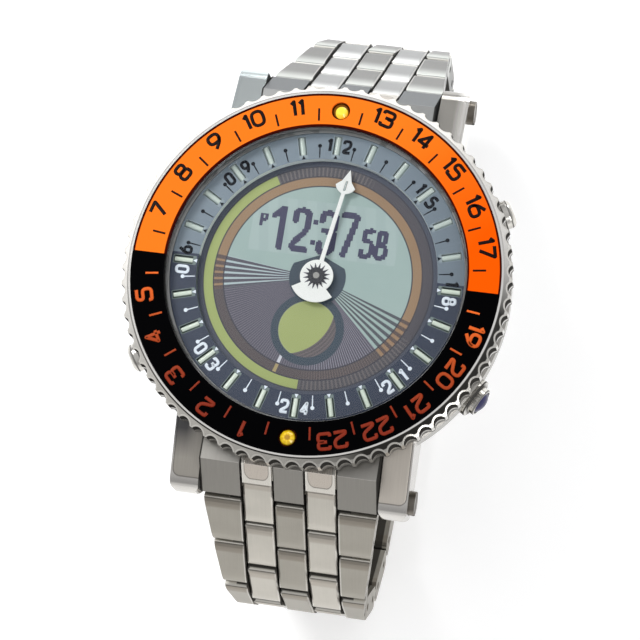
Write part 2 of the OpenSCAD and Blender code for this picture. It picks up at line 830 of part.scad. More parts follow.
// Room that a leaf leaves for the other leaf's knuckles
module knuckle_room(y, z, r, is_middle) {
    xs = is_middle ? [0] : [-blade_w / 3, blade_w / 3];
    for (x = xs) translate([x, y, z]) cross_bar(r + 0.12, knuckle_w + 0.2);
}

module clasp_cover() {
    button_room = 0.1;
    color("silver") at_clasp() {
        difference() {
            union() {
                plate(low_y + cover_in, high_y - cover_in, cover_z, cover_t, cover_w);
                for (s = [-1, 1]) translate([s * (cover_w - cover_wall) / 2, 0, 0])
                    plate(low_y + cover_in, high_y - cover_in, cover_z,
                          wall_top - cover_z, cover_wall);
                plate(high_y - cover_in - 0.5, high_y, cover_z + cover_t - 0.35, 0.9, tongue_w);
                translate([0, high_y, 0]) cross_bar(link_t / 2, tongue_w);
                translate([0, fold_low_y, 0]) for (x = [-1, 1] * blade_w / 3)
                    translate([x - fold_leg_w / 2, -fold_leg / 2, cover_z + 0.1])
                        cube([fold_leg_w, fold_leg, fold_low_z + fold_leg / 2 - cover_z - 0.1]);
                knuckles(fold_low_y, fold_low_z, fold_low_r, false);
            }
            translate([0, high_y, 0]) cross_bar(pin_hole_r, 40);
            translate([0, fold_low_y, fold_low_z]) cross_bar(fold_pin_r + run_fit, blade_w + 2);
            for (s = [-1, 1]) translate([s * cover_w / 2, button_y, button_z])
                cube([4, button_len + 2 * button_room, button_h + 2 * button_room], center = true);
            for (y = [low_y + cover_in, high_y - cover_in])
                translate([0, y, cover_z]) rotate([45, 0, 0])
                    cube([cover_w + 2, 0.7, 0.7], center = true);
        }
        translate([0, high_y, 0]) cross_bar(pin_d / 2, tongue_w - 0.2);
        translate([0, fold_low_y, fold_low_z]) cross_bar(fold_pin_r, blade_w - 0.2);
    }
}

module clasp_middle_blade() {
    color("gainsboro") at_clasp() {
        difference() {
            union() {
                plate(fold_low_y, fold_high_y, blade_low_z, blade_t, blade_w);
                knuckles(fold_low_y, fold_low_z, fold_low_r, true);
                knuckles(fold_high_y, fold_high_z, fold_high_r, true);
            }
            knuckle_room(fold_low_y, fold_low_z, fold_low_r, false);
            knuckle_room(fold_high_y, fold_high_z, fold_high_r, false);
            translate([0, fold_low_y, fold_low_z]) cross_bar(fold_pin_r + run_fit, blade_w + 2);
            translate([0, fold_high_y, fold_high_z]) cross_bar(fold_pin_r + run_fit, blade_w + 2);
            for (y = [fold_low_y + 9, fold_high_y - 9])
                translate([0, y, -3]) cylinder(r = 2, h = 6);
        }
        translate([0, fold_high_y, fold_high_z]) cross_bar(fold_pin_r, blade_w - 0.2);
    }
}

module clasp_end_blade() {
    color("gainsboro") at_clasp() {
        difference() {
            union() {
                plate(low_y, fold_high_y, blade_high_z, blade_t, blade_w);
                knuckles(fold_high_y, fold_high_z, fold_high_r, false);
                translate([0, low_y, 0]) cross_bar(link_t / 2, tongue_w);
            }
            knuckle_room(fold_high_y, fold_high_z, fold_high_r, true);
            translate([0, fold_high_y, fold_high_z]) cross_bar(fold_pin_r + run_fit, blade_w + 2);
            translate([0, low_y, 0]) cross_bar(pin_hole_r, 40);
        }
        translate([0, low_y, 0]) cross_bar(pin_d / 2, clasp_w - 2 * pin_recess);
    }
}

module clasp_button(is_right) {
    proud = button_travel + 0.2;
    flange_t = 0.6;
    inner_x = cover_w / 2 - cover_wall - face_gap;
    color("silver") at_clasp() mirror([is_right ? 0 : 1, 0, 0]) {
        translate([inner_x - eps, button_y - button_len / 2, button_z - button_h / 2])
            cube([cover_w / 2 + proud - inner_x, button_len, button_h]);
        translate([inner_x - flange_t, button_y - button_len / 2 - 0.5, button_z - button_h / 2])
            cube([flange_t, button_len + 1, button_h]);
    }
}

case_middle();
case_back();
case_back_gasket();
crystal();
crystal_gasket();
dial_ring();
light_tubes();
lcd_panel();
module_holder();
circuit_board();
battery();
battery_clamp();
motor_stator();
lug_bars();
end_link(true);  // end_link_12
end_link(false);  // end_link_6
bezel_click_spring();
pusher_tubes();
bezel_ring();
bezel_insert();
bezel_pips();
day_hand();
hour_wheel();
idler_wheel();
motor_rotor();
for (i = [0 : 3]) pusher(i);
cabochon();
for (k = [1 : rows]) link_row(fall_12, true, k);
for (k = [1 : rows]) link_row(fall_6, false, k);
clasp_cover();
clasp_middle_blade();
clasp_end_blade();
clasp_button(true);  // clasp_button_right
clasp_button(false);  // clasp_button_left
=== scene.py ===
"""Looks of the world time wristwatch: finishes, dial printing, camera and light.

Lengths in this file are in millimetres; MM turns them into Blender's metres.
"""

import json
import math

import bmesh
import bpy
from mathutils import Matrix, Vector


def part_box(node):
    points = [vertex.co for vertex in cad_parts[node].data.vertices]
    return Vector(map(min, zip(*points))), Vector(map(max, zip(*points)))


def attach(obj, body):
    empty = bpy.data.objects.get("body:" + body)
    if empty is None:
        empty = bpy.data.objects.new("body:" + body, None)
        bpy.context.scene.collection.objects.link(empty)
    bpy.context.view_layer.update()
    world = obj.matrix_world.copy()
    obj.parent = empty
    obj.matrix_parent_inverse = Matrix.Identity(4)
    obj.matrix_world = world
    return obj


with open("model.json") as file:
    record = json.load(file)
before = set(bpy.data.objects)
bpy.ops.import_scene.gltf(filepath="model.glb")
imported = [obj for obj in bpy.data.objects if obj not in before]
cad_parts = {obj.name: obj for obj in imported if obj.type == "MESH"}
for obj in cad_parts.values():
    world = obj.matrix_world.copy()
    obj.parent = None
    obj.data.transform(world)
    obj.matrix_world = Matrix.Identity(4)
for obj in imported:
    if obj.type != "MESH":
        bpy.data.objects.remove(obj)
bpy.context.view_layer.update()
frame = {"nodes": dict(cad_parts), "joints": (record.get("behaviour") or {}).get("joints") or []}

MM = 0.001
NODES = frame["nodes"]


# Heights of the faces that carry printing

def top_of(node):
    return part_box(node)[1].z / MM


INSERT_TOP = top_of("bezel_insert")
DIAL_TOP = top_of("dial_ring")
LCD_TOP = top_of("lcd_panel")
HAND_TOP = top_of("day_hand")
PIPE_TOP = top_of("hour_wheel")
BEZEL_TOP = top_of("bezel_ring")
END_LINK_TOP = top_of("end_link_12")
HAND_ANGLE = 8.5
HOUR_TURN = 15.0  # degrees from one hour mark to the next
DAY_FROM = 0.9  # the ring's day half starts this far above the line from 9 to 3 o'clock
COLUMN_AT = 3.95  # from one bracelet column to the next
HALF_COLUMN = COLUMN_AT / 2
BRUSHED, PLAIN = (9.0, 0.12, 0.12), (1.0, 1.0, 1.0)  # factors on X, Y and Z before noise


# Colour helpers

def srgb(r, g, b):
    """A colour as 0-255 screen values, turned into linear light."""
    out = []
    for c in (r, g, b):
        c = c / 255
        out.append(c / 12.92 if c <= 0.04045 else ((c + 0.055) / 1.055) ** 2.4)
    return (*out, 1.0)


class Field:
    """A number that varies over a surface; Python arithmetic on it adds Math nodes."""

    def __init__(self, finish, socket):
        self.finish = finish
        self.socket = socket

    def math(self, operation, *others):
        values = dict(enumerate((self, *others)))
        return Field(self.finish, self.finish.node("Math", {"operation": operation}, values))

    def __add__(self, other):
        return self.math("ADD", other)

    __radd__ = __add__

    def __sub__(self, other):
        return self.math("SUBTRACT", other)

    def __rsub__(self, other):
        return (self * -1.0) + other

    def __mul__(self, other):
        return self.math("MULTIPLY", other)

    __rmul__ = __mul__

    def __truediv__(self, other):
        return self.math("DIVIDE", other)

    def __abs__(self):
        return self.math("ABSOLUTE")

    def root(self):
        return self.math("SQRT")

    def least(self, other):
        return self.math("MINIMUM", other)

    def most(self, other):
        return self.math("MAXIMUM", other)

    def step(self, edge, soft):
        """0 below edge, 1 above it, over a soft width."""
        return ((self - edge) / soft + 0.5).least(1.0).most(0.0)

    def between(self, low, high, soft):
        return self.step(low, soft) * (1.0 - self.step(high, soft))


class Finish:
    """A node material around one Principled shader."""

    def __init__(self, name, colour, metallic=0.0, roughness=0.5, **sockets):
        self.material = bpy.data.materials.new(name)
        self.material.use_nodes = True
        self.tree = self.material.node_tree
        self.shader = self.tree.nodes["Principled BSDF"]
        self.output = self.tree.nodes["Material Output"]
        self.set("Base Color", colour)
        self.set("Metallic", metallic)
        self.set("Roughness", roughness)
        for socket, value in sockets.items():
            self.set(socket.replace("_", " "), value)
        self._place = None

    def feed(self, slot, value):
        if isinstance(value, Field):
            value = value.socket
        if isinstance(value, bpy.types.NodeSocket):
            self.tree.links.new(value, slot)
        else:
            slot.default_value = value

    def set(self, name, value):
        self.feed(self.shader.inputs[name], value)

    def node(self, kind, settings=None, inputs=None, output=0):
        """Adds a shader node by type, sets it, feeds its inputs and gives one output."""
        node = self.tree.nodes.new("ShaderNode" + kind)
        for key, value in (settings or {}).items():
            setattr(node, key, value)
        for key, value in (inputs or {}).items():
            self.feed(node.inputs[key], value)
        return node.outputs[output]

    def place(self):
        """Object coordinates in millimetres, as three Fields."""
        if self._place is None:
            where = self.node("TexCoord", output="Object")
            scaled = self.node(
                "VectorMath", {"operation": "SCALE"}, {0: where, "Scale": 1 / MM}
            )
            split = self.node("SeparateXYZ", None, {0: scaled}).node
            self._place = [Field(self, s) for s in split.outputs]
        return self._place

    def point(self, x, y, z):
        return self.node("CombineXYZ", None, {0: x, 1: y, 2: z})

    def noise(self, scale, detail=2.0, stretch=PLAIN):
        """Noise between 0 and 1; scale is in features per millimetre."""
        x, y, z = self.place()
        where = self.point(x * stretch[0], y * stretch[1], z * stretch[2])
        inputs = {"Vector": where, "Scale": scale, "Detail": detail}
        return Field(self, self.node("TexNoise", None, inputs))

    def brushing(self):
        """Fine lines along the bracelet, between 0 and 1."""
        return self.noise(1.6, 3.0, BRUSHED)

    def blend(self, factor, first, second):
        """A colour between two colours, which the Mix node takes at inputs 6 and 7."""
        colours = {"Factor": factor, 6: first, 7: second}
        return self.node("Mix", {"data_type": "RGBA"}, colours, 2)

    def bump(self, height, depth, strength=1.0):
        """Raises the surface by height times depth, in millimetres."""
        out = self.node(
            "Bump", None, {"Height": height, "Distance": depth * MM, "Strength": strength}
        )
        self.set("Normal", out)

    def polar(self):
        """Radius and clock angle in degrees, 0 at 12 and growing clockwise to 360."""
        x, y, _ = self.place()
        radius = (x * x + y * y).root()
        angle = x.math("ARCTAN2", y) * (180 / math.pi)
        return radius, angle.math("FLOORED_MODULO", 360.0)


# Finishes

def steel(name, tone, roughness, grain, stretch=PLAIN):
    """Steel with brushing of a given grain, or polished where the grain is low."""
    r, g, b = tone
    f = Finish(name, srgb(r, g, b), metallic=1.0, roughness=roughness)
    lines = f.noise(1.6, 3.0, stretch)
    cloud = f.noise(0.16, 2.0)
    shade = 0.35 + 0.3 * cloud + 0.35 * lines * grain
    dark = srgb(r * 0.86, g * 0.855, b * 0.85)
    light = srgb(min(255, r * 1.05), min(255, g * 1.05), min(255, b * 1.045))
    f.set("Base Color", f.blend(shade, dark, light))
    f.set("Roughness", roughness + (lines - 0.5) * 0.2 * grain + (cloud - 0.5) * 0.06)
    f.bump(lines, 0.012 * grain, 0.6)
    return f


polished_steel = steel("polished_steel", (204, 202, 198), 0.14, 0.12)
brushed_steel = steel("brushed_steel", (168, 166, 160), 0.32, 1.0, BRUSHED)
clasp_steel = steel("clasp_steel", (182, 180, 174), 0.28, 1.0, BRUSHED)
bar_steel = steel("bar_steel", (118, 113, 106), 0.34, 0.3)


def rounded_box(x, y, centre, half, corner):
    """Distance to a rounded rectangle, negative inside."""
    dx = abs(x - centre[0]) - (half[0] - corner)
    dy = abs(y - centre[1]) - (half[1] - corner)
    ox, oy = dx.most(0.0), dy.most(0.0)
    outside = (ox * ox + oy * oy).root()
    return outside + dx.most(dy).least(0.0) - corner


# The brushed field on a lug: its centre, half its size, and where a lug's top begins
LUG_FIELD, LUG_FIELD_HALF, LUG_TOP_FROM = (12.2, 20.2), (2.3, 5.75), 38.2


def case_steel():
    """Polished case whose lugs have a brushed field with a fine engraved edge, with painted
    reflections and painted shade on the lugs.
    """
    f = Finish(
        "case_steel", srgb(196, 194, 190), metallic=1.0, roughness=0.16, Specular_IOR_Level=0.0
    )
    x, y, z = f.place()
    side, reach = abs(x), abs(y)
    field = rounded_box(side, reach, LUG_FIELD, LUG_FIELD_HALF, 0.9)
    upper = z.step(LUG_TOP_FROM, 0.1)
    front = 1.0 - y.step(0.0, 1.0) * 0.85
    brushed = (1.0 - field.step(0.0, 0.08)) * upper * front
    edge = field.between(-0.07, 0.07, 0.05) * upper * front
    lines = f.brushing()
    cloud = f.noise(0.2, 2.0)
    left, right = 1.0 - x.step(0.0, 1.0), x.step(0.0, 1.0)
    back = y.step(0.0, 1.0)
    tone = f.blend(0.4 + 0.4 * cloud, srgb(184, 181, 176), srgb(214, 211, 206))
    # Painted reflections: the upper left lug is painted light blue-grey, the upper right lug
    # bright with its inner part painted darker
    tone = f.blend(back * left * upper, tone, srgb(210, 219, 220))
    tone = f.blend(back * right, tone, srgb(232, 230, 226))
    tone = f.blend(back * right * (1.0 - side.step(13.7, 1.2)), tone, srgb(162, 160, 155))
    matt = f.blend(0.3 + 0.7 * lines, srgb(152, 148, 140), srgb(178, 173, 165))
    # Painted light: the brushed field on the right-hand lugs is painted lighter than on the left
    matt_painted_light = f.blend(0.3 + 0.7 * lines, srgb(184, 177, 167), srgb(212, 205, 195))
    tone = f.blend(brushed, tone, f.blend(right, matt, matt_painted_light))
    tone = f.blend(edge * 0.6, tone, srgb(96, 92, 86))
    # Painted dark reflection: the lower left lug is painted darkest near the bezel and on its
    # outer side
    shade = left * (1.0 - back) * (1.0 - reach.step(22.0, 3.4))
    shade = shade * (0.35 + 0.65 * side.step(12.6, 1.4))
    tone = f.blend(shade * 0.85, tone, srgb(52, 54, 60))
    flank = side.step(14.9, 0.1)
    tone = f.blend(flank * 0.8, tone, f.blend(cloud, srgb(140, 138, 132), srgb(168, 165, 159)))
    # Painted shade on the lugs' inner walls, in the narrow gap beside the end link
    inner = reach.step(20.4, 0.1) * side.between(10.9, 11.22, 0.04)
    tone = f.blend(inner * 0.9, tone, srgb(24, 23, 22))
    f.set("Base Color", tone)
    f.set("Metallic", 1.0 - inner)
    f.set("Roughness", 0.17 + 0.05 * cloud + brushed * (0.2 + 0.1 * lines))
    f.bump(lines * brushed - edge * 2.0, 0.012, 0.7)
    return f


def end_link_steel():
    """End link: outer and middle columns dark and brushed, the two between lighter, with painted
    shade in its slits, painted reflections and painted glints.
    """
    f = Finish(
        "end_link_steel", srgb(150, 148, 142), metallic=1.0, roughness=0.3, Specular_IOR_Level=0.0
    )
    x, y, z = f.place()
    side = abs(x)
    from_light = abs(side - COLUMN_AT)
    light_column = side.between(1.98, 5.93, 0.05)
    lines = f.brushing()
    dark = f.blend(0.3 + 0.6 * lines, srgb(116, 114, 109), srgb(140, 137, 131))
    light = f.blend(0.3 + 0.6 * lines, srgb(186, 182, 174), srgb(204, 200, 192))
    inset = rounded_box(side, abs(y), (COLUMN_AT, 22.6), (1.5, 2.6), 0.8)
    matt = f.blend(0.3 + 0.6 * lines, srgb(164, 156, 147), srgb(184, 176, 166))
    light = f.blend(1.0 - inset.step(0.0, 0.06), light, matt)
    edge = inset.between(-0.05, 0.05, 0.05) * light_column
    tone = f.blend(light_column, dark, light)
    back = y.step(0.0, 1.0)
    # Painted reflection: on the 12 side the dark columns are painted blue-grey
    tone = f.blend(back * (1.0 - light_column) * 0.8, tone, srgb(86, 93, 98))
    tone = f.blend(edge * 0.7, tone, srgb(104, 100, 94))
    # Painted shade in the slits between the columns and beside the lugs
    slit_shade = from_light.between(1.88, 2.1, 0.03).most(side.between(10.86, 11.1, 0.04))
    glint = from_light.between(1.72, 1.88, 0.03)
    tone = f.blend(glint * 0.4, tone, srgb(226, 223, 216))
    # Painted highlight: the level part mirrors the dim room above, so it is painted lighter
    level = z.step(END_LINK_TOP - 0.05, 0.04)
    tone = f.blend(level * 0.18, tone, srgb(255, 252, 246))
    f.set("Base Color", f.blend(slit_shade * 0.9, tone, srgb(30, 29, 27)))
    f.set("Metallic", 1.0 - slit_shade)
    f.set("Roughness", 0.3 - 0.08 * light_column + 0.12 * lines)
    f.bump(lines - edge * 2.0, 0.012, 0.6)
    return f


def pins_of(link):
    """A link's two hinge pins, in millimetres: (y, z) of the near one, (y, z) of the far one."""
    found = {j["child"]: j["pos_m"] for j in frame["joints"] if "pos_m" in j}
    side, row = link[5:].rsplit("_", 1)
    near = found[link]
    after = "link_%s_%02d" % (side, int(row) + 1)
    if after in found:
        far = found[after]
    else:
        before = found["link_%s_%02d" % (side, int(row) - 1)]
        far = [2 * b - a for a, b in zip(before, near)]
    return (near[1] / MM, near[2] / MM), (far[1] / MM, far[2] / MM)


def link_steel(link):
    """A bracelet row: brushed faces, painted highlights and painted shade at the ends, painted
    shade in the slits, and painted glints along them.
    """
    near, far = pins_of(link)
    narrow = int(link[-2:]) % 2 == 1
    upper = link.startswith("link_12")
    face = (178, 174, 165) if narrow else (152, 148, 139)
    # Painted shade: rows on the 12 side are painted darker than the same rows on the 6 side
    if upper:
        face = (144, 145, 145) if narrow else (128, 128, 126)
    f = Finish(
        link + "_steel", srgb(*face), metallic=1.0, roughness=0.3, Specular_IOR_Level=0.0
    )
    x, y, z = f.place()
    pitch = math.dist(near, far)
    dy, dz = (far[0] - near[0]) / pitch, (far[1] - near[1]) / pitch
    along = (y - near[0]) * dy + (z - near[1]) * dz
    out = 1.0 if near[0] > 0 else -1.0
    rise = (y - near[0]) * (-dz * out) + (z - near[1]) * (dy * out)
    from_end = along.least(pitch - along)
    lines = f.brushing()
    cloud = f.noise(0.25, 3.0)
    low, high = (srgb(*(c * share for c in face)) for share in (0.9, 1.1))
    tone = f.blend(0.45 * lines + 0.55 * cloud, low, high)
    if upper:
        # Painted highlight at the end nearer the case, and painted shade at the far end
        glow = 1.0 - along.step(0.2, 2.8)
        light = srgb(250, 252, 250) if narrow else srgb(206, 209, 205)
        tone = f.blend(glow * glow * 0.95, tone, light)
        tone = f.blend(along.step(pitch + 1.2, 1.2) * 0.5, tone, srgb(104, 105, 104))
    else:
        # Painted dark reflection on the shoulder at the near end of each row on the 6 side
        shoulder_reflection = along.between(-1.6, -0.35, 0.3)
        shoulder_reflection_tone = srgb(156, 148, 138) if narrow else srgb(134, 126, 115)
        tone = f.blend(shoulder_reflection * (0.45 + 0.3 * cloud), tone, shoulder_reflection_tone)
        # Painted highlight toward the far end of each row
        tone = f.blend(along.step(pitch + 0.6, 2.2) * 0.4, tone, high)
    glint = from_end.between(-1.84, -1.72, 0.04)
    tone = f.blend(glint * 0.75, tone, srgb(222, 219, 211))
    # Painted highlight along the edges of each column
    seam = abs(abs(abs(x) - COLUMN_AT) - HALF_COLUMN)
    tone = f.blend(seam.between(0.17, 0.33, 0.05) * 0.4, tone, srgb(222, 220, 214))
    # Painted shade in the slits beside the columns, at the row ends and in the corners between
    # them
    painted_shade = (1.0 - rise.step(1.0, 0.2)) * (1.0 - abs(x).step(7.6, 0.1))
    painted_shade = painted_shade.most(1.0 - from_end.step(-1.86, 0.04))
    painted_shade = painted_shade.most(along.between(-1.7, -1.6, 0.04) * 0.75)
    nook, end = ((0.6 - seam) / 0.45).most(0.0), ((-1.42 - from_end) / 0.45).most(0.0)
    painted_shade = painted_shade.most((nook * nook + end * end).root().step(1.0, 0.15))
    gap = srgb(70, 69, 67) if upper else srgb(38, 36, 33)
    f.set("Base Color", f.blend(painted_shade * 0.92, tone, gap))
    f.set("Metallic", 1.0 - painted_shade * 0.9)
    f.set("Roughness", (0.24 if narrow else 0.32) + 0.14 * lines)
    f.bump(lines, 0.012, 0.6)
    return f


SCALLOPS, SCALLOP_AT = 72, 24.47


def bezel_steel():
    """The scalloped ring: painted highlights on the chamfer and the scallops' lips, painted dark
    reflections on the scallop walls and in fine lines, painted shade at its foot and under the
    insert.
    """
    f = Finish(
        "bezel_steel", srgb(200, 198, 194), metallic=1.0, roughness=0.16, Specular_IOR_Level=0.0
    )
    radius, angle = f.polar()
    _, y, z = f.place()
    share = (angle * (SCALLOPS / 360)).math("FRACT") - 0.5
    turn = share * (2 * math.pi / SCALLOPS)
    across, out = radius * turn, radius * (1.0 - 0.5 * turn * turn) - SCALLOP_AT
    reach = (across * across + out * out).root()
    cloud = f.noise(0.3, 2.0)
    back = y.step(-9.0, 16.0)
    tone = f.blend(cloud, srgb(172, 169, 162), srgb(202, 199, 192))
    # Painted highlight: the ring is painted lighter toward the 12 side
    tone = f.blend(back * 0.8, tone, srgb(238, 236, 232))
    # Painted highlight on the inner chamfer
    tone = f.blend(radius.between(22.72, 22.96, 0.04) * 0.85, tone, srgb(244, 242, 238))
    chamfer = z.step(BEZEL_TOP - 0.95, 0.05)
    # Painted dark reflection: a fine dark line round the chamfer, fainter toward the 12 side
    dark_reflection = radius.between(22.97, 23.14, 0.05) * chamfer * (1.0 - 0.6 * back)
    # Painted dark reflection: the teeth toward 4 o'clock are painted dark, as if mirroring
    # something dark
    tooth_reflection = reach.step(1.17, 0.05) * radius.between(23.0, 23.64, 0.08) * chamfer
    dark_reflection = dark_reflection.most(tooth_reflection * angle.between(84.0, 168.0, 24.0))
    tone = f.blend(dark_reflection * 0.96, tone, srgb(8, 7, 6))
    # Painted highlight on the lips of the scallops
    tone = f.blend(reach.between(0.985, 1.16, 0.04) * 0.7, tone, srgb(216, 213, 206))
    # Painted dark reflection on the upper part of each scallop's wall
    inside = 1.0 - reach.step(0.98, 0.015)
    wall = inside * z.between(BEZEL_TOP - 2.5, BEZEL_TOP + 1.0, 0.5)
    tone = f.blend(wall * 0.95, tone, srgb(20, 18, 16))
    # Painted shade on the ring's lower part
    foot = 1.0 - z.step(BEZEL_TOP - 2.9, 0.08)
    tone = f.blend(foot * 0.75, tone, srgb(52, 50, 47))
    f.set("Metallic", 1.0 - wall.most(foot * 0.7).most(dark_reflection))
    # Painted shade on the ring's web beneath the insert, seen through the pip holes
    under = radius.between(19.0, 22.72, 0.02)
    f.set("Base Color", f.blend(under, tone, srgb(58, 22, 12)))
    f.set("Roughness", 0.16 + 0.06 * cloud + 0.3 * under)
    f.bump(cloud, 0.004, 0.3)
    return f


def enamel():
    """The bezel insert: orange by day, black by night, darker at its rims, the orange with a
    painted sheen toward the upper left.
    """
    f = Finish("bezel_enamel", srgb(246, 110, 30), roughness=0.3, Specular_IOR_Level=0.01)
    radius, _ = f.polar()
    x, y, _ = f.place()
    cloud = f.noise(0.08, 2.0)
    grain = f.noise(4.0, 2.0)
    # Painted sheen: the orange is painted lighter toward the upper left, with random mottling
    painted_sheen = (0.5 + 0.035 * (y - x) + 0.4 * (cloud - 0.5)).least(1.0).most(0.0)
    orange = f.blend(painted_sheen, srgb(242, 86, 2), srgb(250, 120, 30))
    black = f.blend(cloud, srgb(1, 1, 2), srgb(3, 3, 4))
    day = y.step(0.0, 0.06)
    paint = f.blend(day, black, orange)
    rim = radius.step(22.48, 0.08).most(1.0 - radius.step(18.82, 0.08))
    paint = f.blend(rim, paint, f.blend(day, srgb(3, 3, 4), srgb(60, 8, 4)))
    f.set("Base Color", paint)
    f.set("Roughness", 0.27 + 0.08 * grain)
    f.bump(grain, 0.003, 0.4)
    return f


TUBE_AT = 16.5  # radius at which the light tubes' centres stand


def from_hour(radius, angle):
    """Distance across from the nearest hour mark, in millimetres."""
    share = (angle / HOUR_TURN + 0.5).math("FRACT") - 0.5
    return radius * (share * math.radians(HOUR_TURN))


def hour_ring():
    """The hour ring: light grey-blue above with a painted reflection toward the upper left, slate
    blue below, fine radial brushing.
    """
    f = Finish("hour_ring", srgb(137, 149, 160), roughness=0.42)
    radius, angle = f.polar()
    x, y, z = f.place()
    where = f.point(angle * 1.4, radius * 0.25, 0.0)
    rays = Field(f, f.node("TexNoise", None, {"Vector": where, "Scale": 1.0, "Detail": 2.0}))
    day = y.step(DAY_FROM, 0.05)
    # Painted reflection of a pale light on the crystal, strongest toward the upper left
    painted_sheen = (0.65 - 0.02 * x + 0.04 * (y - 12.0)).least(1.0).most(0.0)
    upper = f.blend(0.3 + 0.5 * rays, srgb(92, 106, 118), srgb(126, 139, 150))
    upper = f.blend(painted_sheen * 0.55, upper, srgb(138, 152, 163))
    lower = f.blend(0.3 + 0.5 * rays, srgb(25, 36, 57), srgb(43, 55, 79))
    trench = z.step(DIAL_TOP - 0.12, 0.05)
    tone = f.blend(day, lower, upper)
    across = from_hour(radius, angle)
    frame_edge = rounded_box(across, radius, (0.0, TUBE_AT), (0.56, 1.45), 0.12)
    pocket = f.blend(day, srgb(112, 126, 124), srgb(156, 169, 174))
    tone = f.blend((1.0 - frame_edge.step(0.0, 0.05)) * (1.0 - day), tone, pocket)
    # Painted reflection: by day each pocket is painted as a soft pale patch
    tone = f.blend((1.0 - frame_edge.step(-0.08, 0.3)) * day * 0.8, tone, pocket)
    # Painted light: by day the pocket walls are painted pale to cancel their shade
    wall = f.blend(day, srgb(84, 96, 96), srgb(226, 236, 236))
    f.set("Base Color", f.blend(trench, wall, tone))
    f.set("Roughness", 0.4 + 0.1 * rays)
    f.bump(rays, 0.004, 0.4)
    return f


# The display's drawing, in millimetres from the dial axis and degrees from 12; it is
# drawn for a display 14.4 mm in radius and enlarged by DRAWN
DRAWN = 1.031
BROWN_IN, BROWN_OUT = 11.3, 12.45
OLIVE_IN, OLIVE_OUT = 12.55, 13.75
MOON = (-0.2, -6.4)
MOON_R, MOON_WELL_R = 3.4, 4.38
FAN_LEFT, FAN_RIGHT = 277.0, 109.0


